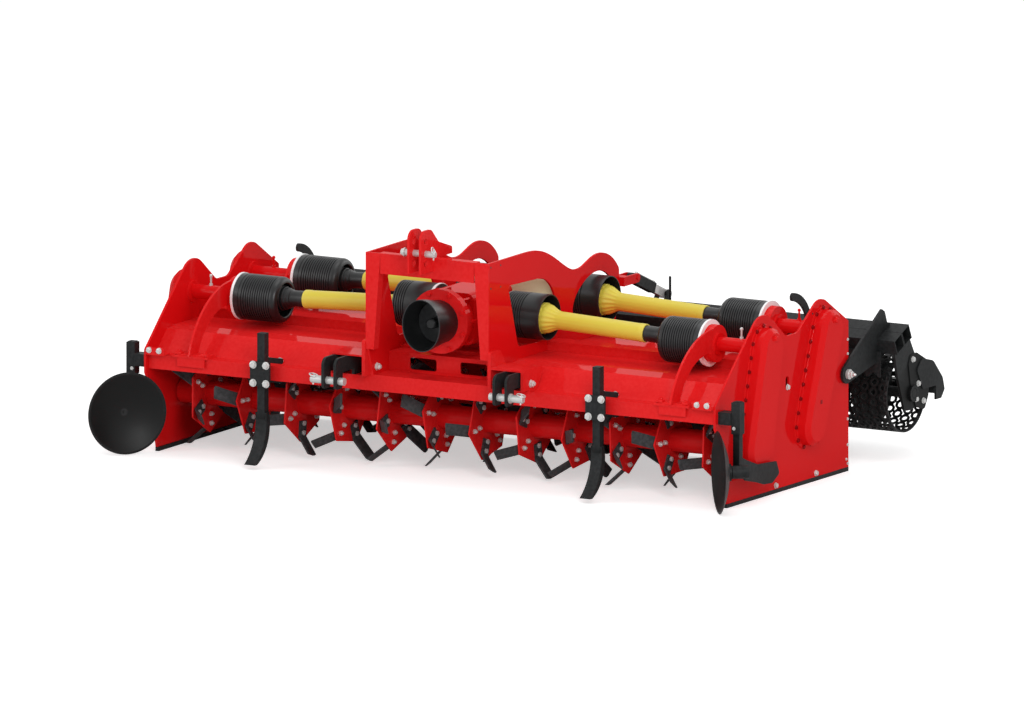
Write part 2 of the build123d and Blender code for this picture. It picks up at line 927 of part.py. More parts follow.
# Bearing arms: curved horns from the beam and the deck up to the shaft bearings
foot_w = 190.0
foot_over = 20.0
with BuildPart() as arms:
    with BuildSketch(side(arm_x)):
        with BuildLine():
            top_bow = ThreePointArc((arm_foot_y, beam_top + arm_foot_t), (140, 680), (400, 778))
            Line(top_bow @ 1, (drive_front_y, drive_outer_z))
            Line((drive_front_y, drive_outer_z), (368, 666))
            low_bow = ThreePointArc((368, 666), (190, 614), (78, beam_top + arm_foot_t))
            Line(low_bow @ 1, top_bow @ 0)
        make_face()
        with Locations((drive_front_y, drive_outer_z)):
            Circle(arm_boss_r)
    extrude(amount=arm_t)
    with BuildSketch(side(cup_out_end + ring_t)):
        with Locations((drive_front_y, drive_outer_z)):
            Circle(arm_boss_r)
            Circle(cup_bore, mode=Mode.SUBTRACT)
    extrude(amount=arm_x - cup_out_end - ring_t)
    with BuildSketch(level(beam_top)):
        with Locations((arm_x + arm_t / 2, beam_y + (beam_size - foot_over) / 2)):
            Rectangle(foot_w, beam_size + foot_over)
    extrude(amount=arm_foot_t)
    with BuildSketch(side(arm_x)):
        with BuildLine():
            Polyline(
                (drive_rear_y - 190, deck_z),
                (drive_rear_y - 70, drive_outer_z + 56),
                (drive_rear_y, drive_outer_z),
                (drive_rear_y + 88, drive_outer_z + 18),
                (deck_end - 4, deck_z),
                close=True,
            )
        make_face()
        with Locations((drive_rear_y, drive_outer_z)):
            Circle(arm_boss_r)
    extrude(amount=arm_t)
    with BuildSketch(side(cup_out_end + ring_t)):
        with Locations((drive_rear_y, drive_outer_z)):
            Circle(arm_boss_r)
            Circle(cup_bore, mode=Mode.SUBTRACT)
    extrude(amount=arm_x - cup_out_end - ring_t)
    mirror(about=Plane.YZ)
save("bearing_arms", arms.part)

# Stub tubes from the arms to the side plates, with a flange at each end
stub_start = arm_x + arm_t
with BuildPart() as stubs:
    for drive_y in drives:
        with BuildSketch(side(stub_start)):
            with Locations((drive_y, drive_outer_z)):
                Circle(stub_r)
        extrude(amount=plate_inner - stub_start)
        with BuildSketch(side(stub_start), side(plate_inner - stub_flange_t)):
            with Locations((drive_y, drive_outer_z)):
                Circle(stub_flange_r)
        extrude(amount=stub_flange_t)
    mirror(about=Plane.YZ)
save("stub_tubes", stubs.part)

# Chain cases: long rounded covers with a bevelled face and a bolted flange. Rows are name, top
# centre, top radius, bottom centre and bottom radius.
cases = (
    ("front", drive_front_y, drive_outer_z, 98.0, rotor_front_y, rotor_front_z - 4, 114.0),
    ("rear", drive_rear_y, drive_outer_z, 98.0, rotor_rear_y, rotor_rear_z, 92.0),
)
for case_name, top_y, top_z, top_r, foot_y, foot_z, foot_r in cases:
    with BuildPart() as case:
        for edge, depth in ((case_flange, case_flange_t), (0, case_depth)):
            with BuildSketch(side(plate_x)):
                with BuildLine():
                    CenterArc((top_y, top_z), top_r + edge, 0, 360)
                    CenterArc((foot_y, foot_z), foot_r + edge, 0, 360)
                make_hull()
            extrude(amount=depth)
        chamfer(case.faces().sort_by(Axis.X)[-1].edges(), case_bevel)
        mirror(about=Plane.YZ)
    save(f"chain_cases_{case_name}", case.part)

# Track tines: square shanks clamped to the beam, with curved shares
share_bend_z = 210.0
share_top_z = share_bend_z + 30
share_tip_y = -120.0
share_tip_z = 4.0
share_tip_t = 20.0
share_back_y = tine_front + 26
with BuildPart() as tines:
    with BuildSketch(side(tine_x - tine_size / 2)):
        with Locations((tine_front + tine_size / 2, (share_bend_z + tine_top) / 2)):
            Rectangle(tine_size, tine_top - share_bend_z)
    extrude(amount=tine_size)
    with BuildSketch(side(tine_x - share_w / 2)):
        with BuildLine():
            share_front = ThreePointArc(
                (tine_front, share_top_z), (-34, 100), (share_tip_y, share_tip_z)
            )
            share_back = ThreePointArc(
                (share_tip_y + share_tip_t, share_tip_z), (2, 96), (share_back_y, share_top_z)
            )
            Line(share_front @ 1, share_back @ 0)
            Line(share_back @ 1, share_front @ 0)
        make_face()
    extrude(amount=share_w)
    mirror(about=Plane.YZ)
save("track_tines", tines.part)

clamp_z = beam_z + beam_size / 2
with BuildPart() as clamps:
    with BuildSketch(facing(tine_front), facing(beam_back + clamp_t)):
        with Locations((tine_x, clamp_z)):
            Rectangle(clamp_w, clamp_h)
    extrude(amount=clamp_t)
    mirror(about=Plane.YZ)
save("tine_clamps", clamps.part)

# Rotors: a tube with twelve six-cornered flanges, and bent blades bolted to both faces of each
flanges = [flange_pitch * (i - (flange_count - 1) / 2) for i in range(flange_count)]
rotors = (
    ("front", rotor_front_y, rotor_front_z, rotor_front_r, 0.0),
    ("rear", rotor_rear_y, rotor_rear_z, rotor_rear_r, 14.0),
)
for rotor_name, axis_y, axis_z, tip_r, first_turn in rotors:
    with BuildPart() as rotor:
        with BuildSketch(side(-plate_inner + rotor_gap)):
            with Locations((axis_y, axis_z)):
                Circle(rotor_tube_r)
        extrude(amount=2 * (plate_inner - rotor_gap))
        with BuildSketch(side(-plate_x + journal_end)):
            with Locations((axis_y, axis_z)):
                Circle(journal_r)
        extrude(amount=2 * (plate_x - journal_end))
    corner_turn = first_turn + 360 / (4 * blades_a_side)
    with BuildPart() as rings:
        for i, flange_x in enumerate(flanges):
            with BuildSketch(side(flange_x - flange_t / 2)):
                with Locations((axis_y, axis_z)):
                    RegularPolygon(flange_r, 2 * blades_a_side, rotation=corner_turn + blade_step * i)
                    Circle(rotor_tube_r + weld_gap, mode=Mode.SUBTRACT)
            extrude(amount=flange_t)
    save(f"rotor_{rotor_name}", Compound(children=[rotor.part, *rings.solids()]))

    # A blade is drawn upright from the flange's face: its bend across the rotor, cut to its outline
    # seen from the side, which sweeps back towards the tip.
    blade_x = (flange_t + blade_t) / 2
    tip_scale = tip_r / rotor_front_r
    with BuildPart(mode=Mode.PRIVATE) as blade:
        with BuildSketch(Plane.XZ):
            with BuildLine():
                FilletPolyline(
                    (blade_x, blade_root),
                    (blade_x, blade_bend),
                    (blade_x + blade_reach, blade_bend + blade_reach),
                    radius=blade_fillet,
                )
            trace(line_width=blade_t)
        extrude(amount=blade_root, both=True)
        with BuildSketch(Plane.YZ):
            with BuildLine():
                Polyline(*[(y * tip_scale, z * tip_scale) for y, z in blade_outline], close=True)
            make_face()
        extrude(amount=2 * blade_reach, mode=Mode.INTERSECT)
    left_blade = mirror(blade.part, about=Plane.YZ, mode=Mode.PRIVATE)

    turns = [360 / blades_a_side * k for k in range(blades_a_side)]
    right_places = []
    left_places = []
    for i, flange_x in enumerate(flanges):
        for turn in turns:
            right_turn = first_turn + blade_step * i + turn
            left_turn = right_turn + 180 / blades_a_side
            right_places.append(Location(place(flange_x, axis_y, axis_z), (right_turn, 0, 0)))
            left_places.append(Location(place(flange_x, axis_y, axis_z), (left_turn, 0, 0)))
    with BuildPart() as blades:
        with Locations(*right_places):
            add(blade.part)
        with Locations(*left_places):
            add(left_blade)
    save(f"rotor_{rotor_name}_blades", blades.part)

# Side discs: dished discs turned outwards, each with a boss and an axle in its hub
dish_r = (disc_r**2 + disc_dish**2) / (2 * disc_dish)
rim_r = sqrt((dish_r - disc_t) ** 2 - (dish_r - disc_dish) ** 2)
for hand, sign in hands:
    normal = (sign * cos(radians(disc_yaw)), sin(radians(disc_yaw)), 0)
    disc_plane = Plane(origin=place(sign * disc_x, disc_y, disc_z), x_dir=(0, 0, 1), z_dir=normal)
    # The dish is drawn across the disc's axis: local x is height, local y runs along the normal.
    cut_plane = Plane(
        origin=disc_plane.origin, x_dir=(0, 0, 1), z_dir=disc_plane.z_dir.cross(Vector(0, 0, 1)) * -1
    )
    with BuildPart() as disc:
        with BuildSketch(cut_plane):
            with BuildLine():
                back = RadiusArc((0, disc_dish), (disc_r, 0), dish_r)
                rim = Line(back @ 1, (rim_r, 0))
                inner = RadiusArc(rim @ 1, (0, disc_dish - disc_t), -(dish_r - disc_t))
                Line(inner @ 1, back @ 0)
            make_face()
        revolve(axis=Axis(disc_plane.origin, disc_plane.z_dir))
        with BuildSketch(disc_plane.offset(disc_dish - disc_t)):
            Circle(disc_boss_r)
        extrude(amount=disc_t + disc_boss)
        with BuildSketch(disc_plane.offset(disc_dish)):
            Circle(axle_r)
        extrude(amount=disc_boss + hub_gap + hub_length - hub_cap - 2)
    save(f"disc_{hand}", disc.part)

hub_start = disc_dish + disc_boss + hub_gap
hub_middle = hub_start + hub_length / 2
hub_x = disc_x + hub_middle * cos(radians(disc_yaw))
hub_y = disc_y + hub_middle * sin(radians(disc_yaw))
crank_h = 30.0
crank_foot = disc_z - crank_h / 2
with BuildPart() as disc_arms:
    with BuildSketch(disc_plane.offset(hub_start)):
        Circle(hub_r)
    extrude(amount=hub_length)
    with BuildSketch(level(crank_foot)):
        with Locations((shank_x, shank_y)):
            Rectangle(shank_size, shank_size)
    extrude(amount=shank_top - crank_foot)
    with BuildSketch(level(crank_foot)):
        with BuildLine():
            Polyline(
                (shank_x - shank_size / 2, shank_y + shank_size / 2),
                (shank_x - shank_size / 2, shank_y - shank_size / 2),
                (hub_x, hub_y),
                (hub_x + 20, shank_y),
                (shank_x + shank_size / 2, shank_y + shank_size / 2),
                close=True,
            )
        make_face()
    extrude(amount=crank_h)
    with BuildSketch(disc_plane.offset(hub_start)):
        Circle(axle_r + journal_gap)
    extrude(amount=hub_length - hub_cap, mode=Mode.SUBTRACT)
    mirror(about=Plane.YZ)
save("disc_arms", disc_arms.part)

with BuildPart() as sleeves:
    with BuildSketch(level(sleeve_foot)):
        with Locations((shank_x, shank_y)):
            Rectangle(sleeve_size, sleeve_size)
            Rectangle(shank_size, shank_size, mode=Mode.SUBTRACT)
    extrude(amount=sleeve_top - sleeve_foot)
    with BuildSketch(side(plate_x)):
        with Locations((shank_y, clamp_z)):
            Rectangle(sleeve_stub, sleeve_stub)
    extrude(amount=shank_x - sleeve_size / 2 - plate_x)
    mirror(about=Plane.YZ)
save("disc_sleeves", sleeves.part)

wing_outline = (
    (shank_y + shank_size / 2, 243, 0),
    (140, 215, 30),
    (240, 180, 40),
    (420, 168, 10),
    (449, 105, 16),
    (380, 69, 30),
    (300, 74, 40),
    (229, 95, 20),
    (120, 120, 10),
    (shank_y + shank_size / 2, 170, 0),
)
with BuildPart() as wings:
    with BuildSketch(side(shank_x - wing_t / 2)):
        with BuildLine():
            FilletPolyline(
                *[(y, z) for y, z, _ in wing_outline],
                radius=[r for _, _, r in wing_outline],
                close=True,
            )
        make_face()
    extrude(amount=wing_t)
    mirror(about=Plane.YZ)
save("disc_wings", wings.part)

# Pivot pins of the roller frame through the side plates
pin_head_r = 24.0
pin_head_t = 12.0
with BuildPart() as pivots:
    with BuildSketch(side(plate_inner)):
        with Locations((pivot_y, pivot_z)):
            Circle(pivot_r)
    extrude(amount=plate_t + roller_arm_gap + roller_arm_t + 1)
    with BuildSketch(side(roller_arm_x + roller_arm_t + 1)):
        with Locations((pivot_y, pivot_z)):
            Circle(pin_head_r)
    extrude(amount=pin_head_t)
    mirror(about=Plane.YZ)
save("roller_pivot_pins", pivots.part)

# Roller frame: two square tubes side by side on tilted arms. The tubes' own frame lies along the
# tilt, a along the pair from the first tube's centre and b square to it, upwards.
pair_dir = (cos(radians(pair_tilt)), sin(radians(pair_tilt)))
pair_step = pair_size + pair_gap


def pair_point(a, b):
    """Length and height of a point in the tubes' own frame."""
    return (
        pair_y + a * pair_dir[0] - b * pair_dir[1],
        pair_z + a * pair_dir[1] + b * pair_dir[0],
    )


tube_centres = (pair_point(0, 0), pair_point(pair_step, 0))
with BuildPart() as pair:
    with BuildSketch(side(-pair_half)):
        with Locations(*tube_centres):
            Rectangle(pair_size, pair_size, rotation=pair_tilt)
            Rectangle(
                pair_size - 2 * pair_wall,
                pair_size - 2 * pair_wall,
                rotation=pair_tilt,
                mode=Mode.SUBTRACT,
            )
    extrude(amount=2 * pair_half)
save("roller_beams", pair.part)

with BuildPart() as roller_arms:
    with BuildSketch(side(roller_arm_x)):
        with BuildLine():
            Polyline(
                (pivot_y - roller_arm_eye * 0.55, pivot_z + roller_arm_eye * 0.83),
                *[pair_point(a, b) for a, b in horn],
                pair_point(pair_step + 20, pair_size / 2 + 12),
                pair_point(pair_step + 20, -pair_size / 2 - 14),
                pair_point(-pair_size / 2 - 6, -pair_size / 2 - 30),
                (pivot_y + roller_arm_eye * 0.2, pivot_z - roller_arm_eye * 0.97),
                close=True,
            )
        make_face()
        with Locations((pivot_y, pivot_z)):
            Circle(roller_arm_eye)
        with Locations(*tube_centres):
            Rectangle(pair_size, pair_size, rotation=pair_tilt, mode=Mode.SUBTRACT)
        with Locations((pivot_y, pivot_z)):
            Circle(pivot_r + pivot_gap, mode=Mode.SUBTRACT)
    extrude(amount=roller_arm_t)
    mirror(about=Plane.YZ)
save("roller_arms", roller_arms.part)

# End arms that hang from the tubes and carry the roller's bearings
end_arm_outline = (
    (*pair_point(-pair_size / 2, -pair_size / 2), 0),
    (*pair_point(pair_step + pair_size / 2, -pair_size / 2), 0),
    (1740, 480, 30),
    (1790, 340, 40),
    (1770, 236, 40),
    (1712, 214, 40),
    (1641, 219, 20),
    (1580, 380, 40),
)
with BuildPart() as end_arms:
    with BuildSketch(side(end_arm_x)):
        with BuildLine():
            FilletPolyline(
                *[(y, z) for y, z, _ in end_arm_outline],
                radius=[r for _, _, r in end_arm_outline],
                close=True,
            )
        make_face()
        with Locations((roller_y, roller_z)):
            Circle(roller_axle_r + journal_gap, mode=Mode.SUBTRACT)
    extrude(amount=end_arm_t)
    with BuildSketch(side(end_arm_x + end_arm_t)):
        with Locations((roller_y, roller_z)):
            Circle(bearing_cap_r)
            Circle(roller_axle_r + journal_gap, mode=Mode.SUBTRACT)
    extrude(amount=bearing_cap_t)
    mirror(about=Plane.YZ)
save("roller_end_arms", end_arms.part)

# Rear scraper beam on fan-shaped plates outside the end arms
fan_t = 10.0
fan_x = end_arm_x + end_arm_t
fan_outline = (
    (1745, 400, 16),
    (1790, 452, 40),
    (1900, 425, 60),
    (1990, 330, 40),
    (2008, 270, 10),
    (1975, 232, 0),
    (1925, 232, 0),
    (1925, 300, 0),
    (1800, 300, 20),
    (1768, 360, 20),
)
with BuildPart() as fans:
    with BuildSketch(side(fan_x)):
        with BuildLine():
            FilletPolyline(
                *[(y, z) for y, z, _ in fan_outline],
                radius=[r for _, _, r in fan_outline],
                close=True,
            )
        make_face()
    extrude(amount=fan_t)
    mirror(about=Plane.YZ)
save("scraper_fans", fans.part)

with BuildPart() as scraper:
    with BuildSketch(side(-fan_x)):
        with Locations((scraper_y, scraper_z)):
            Rectangle(scraper_size, scraper_size)
            Rectangle(
                scraper_size - 2 * scraper_wall,
                scraper_size - 2 * scraper_wall,
                mode=Mode.SUBTRACT,
            )
    extrude(amount=2 * fan_x)
save("scraper_beam", scraper.part)

# Roller: a thin drum with an end disc and an axle at each side
end_disc_x = roller_half - 60
with BuildPart() as roller:
    with BuildSketch(side(-roller_half)):
        with Locations((roller_y, roller_z)):
            Circle(roller_r)
            Circle(roller_r - roller_wall, mode=Mode.SUBTRACT)
    extrude(amount=2 * roller_half)
    with BuildSketch(side(end_disc_x), side(-end_disc_x - roller_end_t)):
        with Locations((roller_y, roller_z)):
            Circle(roller_r - roller_wall)
    extrude(amount=roller_end_t)
    with BuildSketch(side(-end_arm_x - end_arm_t - bearing_cap_t)):
        with Locations((roller_y, roller_z)):
            Circle(roller_axle_r)
    extrude(amount=2 * (end_arm_x + end_arm_t + bearing_cap_t))
save("roller", roller.part)

# Adjusters between the centre plates and the roller frame. The link's own frame runs from the
# fork pin towards the eye on the tubes, s along it and t square to it, upwards.
link_run = hypot(eye_y - fork_y, eye_z - fork_z)
link_dir = ((eye_y - fork_y) / link_run, (eye_z - fork_z) / link_run)


def link_point(s, t):
    """Length and height of a point in the adjuster's own frame."""
    return (
        fork_y + s * link_dir[0] - t * link_dir[1],
        fork_z + s * link_dir[1] + t * link_dir[0],
    )


def link_box(start, end, half):
    """Closed outline of a bar in the adjuster's own frame."""
    return (
        link_point(start, -half),
        link_point(end, -half),
        link_point(end, half),
        link_point(start, half),
    )


fork_root = centre_back
with BuildPart() as forks:
    for ear_side in (-1, 1):
        with BuildSketch(side(fork_x + ear_side * (fork_gap + fork_t) / 2 - fork_t / 2)):
            with Locations(((fork_root + fork_y) / 2, fork_z)):
                Rectangle(fork_y - fork_root, 2 * link_eye_r)
            with Locations((fork_y, fork_z)):
                Circle(link_eye_r)
        extrude(amount=fork_t)
    with BuildSketch(side(fork_x - fork_gap / 2)):
        with Locations((fork_root + fork_block / 2, fork_z)):
            Rectangle(fork_block, 2 * link_eye_r)
    extrude(amount=fork_gap)
    with BuildSketch(side(fork_x - fork_gap / 2 - fork_t - pin_end)):
        with Locations((fork_y, fork_z)):
            Circle(link_pin_r)
    extrude(amount=fork_gap + 2 * fork_t + 2 * pin_end)
    mirror(about=Plane.YZ)
save("adjuster_forks", forks.part)

for hand, sign in hands:
    middle = sign * fork_x
    with BuildPart() as link:
        with BuildSketch(side(middle - link_w / 2)):
            with BuildLine():
                Polyline(*link_box(link_start - 10, link_end, link_h / 2), close=True)
            make_face()
            with Locations((fork_y, fork_z)):
                Circle(link_eye_r)
        extrude(amount=link_w)
        with BuildSketch(side(middle - link_w / 2 + link_wall)):
            with BuildLine():
                Polyline(*link_box(link_start, link_end + 1, link_h / 2 - link_wall), close=True)
            make_face()
        extrude(amount=link_w - 2 * link_wall, mode=Mode.SUBTRACT)
        with BuildSketch(side(middle - link_w / 2)):
            with Locations((fork_y, fork_z)):
                Circle(link_pin_r + link_pin_gap)
        extrude(amount=link_w, mode=Mode.SUBTRACT)
    save(f"adjuster_link_{hand}", link.part)

    rod_half = link_h / 2 - link_wall - rod_gap
    rod_w = link_w - 2 * link_wall - 2 * rod_gap
    with BuildPart() as rod:
        with BuildSketch(side(middle - rod_w / 2)):
            with BuildLine():
                Polyline(*link_box(link_run - rod_tail, link_run, rod_half), close=True)
            make_face()
            with Locations((eye_y, eye_z)):
                Circle(link_eye_r)
            with Locations((eye_y, eye_z)):
                Circle(lug_pin_r + rod_eye_gap, mode=Mode.SUBTRACT)
        extrude(amount=rod_w)
    save(f"adjuster_rod_{hand}", rod.part)

lug_top = link_eye_r
with BuildPart() as lugs:
    for sign in (-1, 1):
        for lug_side in (-1, 1):
            lug_start = sign * fork_x + lug_side * (fork_gap + lug_t) / 2 - lug_t / 2
            with BuildSketch(side(lug_start)):
                with BuildLine():
                    Polyline(
                        pair_point(pair_step - 30, pair_size / 2),
                        pair_point(pair_step + 34, pair_size / 2),
                        (eye_y + lug_top, eye_z),
                        (eye_y - lug_top, eye_z),
                        close=True,
                    )
                make_face()
                with Locations((eye_y, eye_z)):
                    Circle(lug_top)
            extrude(amount=lug_t)
        with BuildSketch(side(sign * fork_x - fork_gap / 2)):
            with Locations((eye_y, eye_z)):
                Circle(lug_pin_r)
        extrude(amount=fork_gap)
save("adjuster_lugs", lugs.part)

# Curved bars on the rear board, inside the side plates
bar_x = 1348.0
bar_w = 40.0
bar_t = 12.0
bar_bow_y = board_y - 170.0
bar_bow_z = 640.0
bar_bow_r = 185.0
bar_turn = 82.0
bar_foot_z = 380.0
with BuildPart() as bars:
    with BuildSketch(side(bar_x - bar_t / 2)):
        with BuildLine():
            outer_arc = CenterArc((bar_bow_y, bar_bow_z), bar_bow_r + bar_w / 2, 0, bar_turn)
            inner_arc = CenterArc((bar_bow_y, bar_bow_z), bar_bow_r - bar_w / 2, 0, bar_turn)
            Line(outer_arc @ 1, inner_arc @ 1)
            Line(inner_arc @ 0, (board_y, bar_foot_z + bar_w))
            Line((board_y, bar_foot_z + bar_w), (board_y, bar_foot_z))
            Line((board_y, bar_foot_z), (bar_bow_y + bar_bow_r + bar_w / 2, bar_foot_z + 1.5 * bar_w))
            Line((bar_bow_y + bar_bow_r + bar_w / 2, bar_foot_z + 1.5 * bar_w), outer_arc @ 0)
        make_face()
        with Locations(outer_arc @ 1 * 0.5 + inner_arc @ 1 * 0.5):
            Circle(bar_w / 2)
    extrude(amount=bar_t)
    mirror(about=Plane.YZ)
save("rear_bars", bars.part)
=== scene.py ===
import json
import math

import bmesh
import bpy
import numpy as np
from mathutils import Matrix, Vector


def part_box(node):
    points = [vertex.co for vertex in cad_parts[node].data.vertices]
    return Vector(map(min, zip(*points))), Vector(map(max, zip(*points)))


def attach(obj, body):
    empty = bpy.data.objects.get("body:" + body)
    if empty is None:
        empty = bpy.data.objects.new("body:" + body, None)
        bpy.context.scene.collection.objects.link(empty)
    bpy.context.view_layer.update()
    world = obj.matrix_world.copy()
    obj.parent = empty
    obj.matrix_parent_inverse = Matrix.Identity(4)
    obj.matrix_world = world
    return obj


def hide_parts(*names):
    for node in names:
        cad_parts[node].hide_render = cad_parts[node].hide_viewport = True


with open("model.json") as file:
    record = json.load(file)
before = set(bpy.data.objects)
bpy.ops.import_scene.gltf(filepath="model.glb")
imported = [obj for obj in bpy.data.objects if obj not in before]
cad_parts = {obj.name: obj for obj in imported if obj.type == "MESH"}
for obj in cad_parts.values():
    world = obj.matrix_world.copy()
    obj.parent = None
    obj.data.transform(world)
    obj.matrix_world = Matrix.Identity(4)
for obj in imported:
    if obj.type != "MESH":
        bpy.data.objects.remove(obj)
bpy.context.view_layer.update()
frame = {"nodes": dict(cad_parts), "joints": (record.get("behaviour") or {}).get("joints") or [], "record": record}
print("frame loaded")

cadNodes = frame["nodes"]
joints = {joint["name"]: joint for joint in frame["joints"]}
slotOfNode = {part["node"]: part["material_slot"] for part in frame["record"]["subparts"]}


# Places read from the frame

def low(node):
    # a node's lower corner
    return np.array(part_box(node)[0])


def high(node):
    # a node's upper corner
    return np.array(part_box(node)[1])


frontRotorAxis = np.array(joints["front_rotor_spin"]["pos_m"])
rearRotorAxis = np.array(joints["rear_rotor_spin"]["pos_m"])
drumAxis = np.array(joints["drum_spin"]["pos_m"])
plateFrontY = low("side_plate_right")[1]
plateFootZ = low("side_plate_right")[2]


def mm(*values):
    # millimetres to metres
    return np.array(values, float) / 1000


def spot(x, y, z):
    # a point in metres from width, length behind the side plates' front edge and height over
    # their lower edge, all in millimetres, as the part's own drawing gives them
    return np.array((x / 1000, plateFrontY + y / 1000, plateFootZ + z / 1000))


# Materials

def linear(red, green, blue):
    # sRGB 0..255 to linear colour: ((c + 0.055) / 1.055) ^ 2.4
    values = np.array((red, green, blue)) / 255
    values = np.where(values > 0.04045, ((values + 0.055) / 1.055) ** 2.4, values / 12.92)
    return (*[float(v) for v in values], 1.0)


def newGroup(name, inputs, outputs):
    # a node group with number sockets: inputs with their values, and outputs
    group = bpy.data.node_groups.new(name, "ShaderNodeTree")
    for label in (*inputs, *outputs):
        way = "INPUT" if label in inputs else "OUTPUT"
        socket = group.interface.new_socket(name=label, in_out=way, socket_type="NodeSocketFloat")
        if label in inputs:
            socket.default_value = inputs[label]
    return group


def setInputs(node, values):
    # puts the values on the node's inputs of those names
    for label, value in values.items():
        node.inputs[label].default_value = value


def wire(tree, *rows):
    # each row is a node and its output, then another node and its input
    for source, output, target, entry in rows:
        tree.links.new(source.outputs[output], target.inputs[entry])


def makeGrainGroup():
    # fine grain height and slow tone, both from noise on the object's own coordinates
    group = newGroup("surfaceGrain", dict(grainScale=400.0, toneScale=3.0), ("grainHeight", "tone"))
    nodes = group.nodes
    entry = nodes.new("NodeGroupInput")
    leave = nodes.new("NodeGroupOutput")
    place = nodes.new("ShaderNodeTexCoord")
    fine = nodes.new("ShaderNodeTexNoise")
    slow = nodes.new("ShaderNodeTexNoise")
    fine.inputs["Detail"].default_value = 3.0
    slow.inputs["Detail"].default_value = 4.0
    wire(
        group, (place, "Object", fine, "Vector"), (place, "Object", slow, "Vector"),
        (entry, "grainScale", fine, "Scale"), (entry, "toneScale", slow, "Scale"),
        (fine, "Fac", leave, "grainHeight"), (slow, "Fac", leave, "tone"),
    )
    return group


def makeEdgeGroup():
    # a mask for a painted highlight that is 1 on sharp convex edges, from the surface's pointiness, broken up by
    # noise
    group = newGroup("edgeRub", dict(breakScale=60.0), ("mask",))
    nodes = group.nodes
    entry = nodes.new("NodeGroupInput")
    leave = nodes.new("NodeGroupOutput")
    place = nodes.new("ShaderNodeTexCoord")
    shape = nodes.new("ShaderNodeNewGeometry")
    noise = nodes.new("ShaderNodeTexNoise")
    sharp = nodes.new("ShaderNodeMapRange")
    setInputs(sharp, {"From Min": 0.53, "From Max": 0.62})
    both = nodes.new("ShaderNodeMath")
    both.operation = "MULTIPLY"
    wire(
        group, (place, "Object", noise, "Vector"), (entry, "breakScale", noise, "Scale"),
        (shape, "Pointiness", sharp, "Value"), (sharp, "Result", both, 0), (noise, "Fac", both, 1),
        (both, "Value", leave, "mask"),
    )
    return group


grainGroup = makeGrainGroup()
edgeGroup = makeEdgeGroup()

plain = dict(metal=0.0, coat=0.0, coatRough=0.1, coatIor=1.4)
# each finish's edge colour is a painted highlight laid on sharp convex edges
finishes = {
    "red_paint": dict(
        dark=(212, 17, 20), light=(219, 21, 24), edge=(228, 46, 46),
        rough=(0.3, 0.38), grainScale=260, grainDepth=0.012, toneScale=2.2, metal=0.0,
        specular=0.0, coat=0.34, coatRough=0.04, coatIor=1.3,
    ),
    "black_paint": dict(
        plain, dark=(13, 14, 14), light=(20, 21, 21), edge=(52, 54, 55),
        rough=(0.42, 0.54), grainScale=420, grainDepth=0.08, toneScale=4,
        specular=0.12,
    ),
    "blade_steel": dict(
        plain, dark=(12, 13, 13), light=(24, 25, 26), edge=(84, 85, 87),
        rough=(0.36, 0.5), grainScale=300, grainDepth=0.1, toneScale=9,
        specular=0.15,
    ),
    "disc_steel": dict(
        plain, dark=(13, 14, 14), light=(22, 23, 23), edge=(70, 71, 73),
        rough=(0.36, 0.48), grainScale=350, grainDepth=0.06, toneScale=5,
        specular=0.2,
    ),
    "roller_steel": dict(
        plain, dark=(13, 14, 14), light=(22, 23, 23), edge=(64, 65, 66),
        rough=(0.4, 0.52), grainScale=350, grainDepth=0.06, toneScale=5,
        specular=0.12,
    ),
    "black_plastic": dict(
        plain, dark=(17, 18, 19), light=(25, 26, 27), edge=(60, 62, 64),
        rough=(0.3, 0.4), grainScale=700, grainDepth=0.06, toneScale=6,
        specular=0.4,
    ),
    "yellow_plastic": dict(
        plain, dark=(214, 196, 66), light=(228, 210, 78), edge=(238, 226, 120),
        rough=(0.36, 0.46), grainScale=500, grainDepth=0.04, toneScale=5,
        specular=0.3,
    ),
    "white_plastic": dict(
        plain, dark=(238, 240, 242), light=(246, 247, 248), edge=(250, 250, 250),
        rough=(0.38, 0.5), grainScale=500, grainDepth=0.04, toneScale=6,
        specular=0.3,
    ),
    # the cross plate's colours are lighter than the plate's own: painted light against the shade it sits in
    "plain_plate": dict(
        plain, dark=(222, 224, 176), light=(230, 232, 186), edge=(236, 236, 200),
        rough=(0.32, 0.42), grainScale=300, grainDepth=0.04, toneScale=5,
        specular=0.3, coat=0.1,
    ),
    "zinc_steel": dict(
        plain, dark=(186, 187, 186), light=(212, 212, 210), edge=(232, 232, 230),
        rough=(0.28, 0.42), grainScale=500, grainDepth=0.06, toneScale=30,
        specular=0.5, metal=0.4,
    ),
}


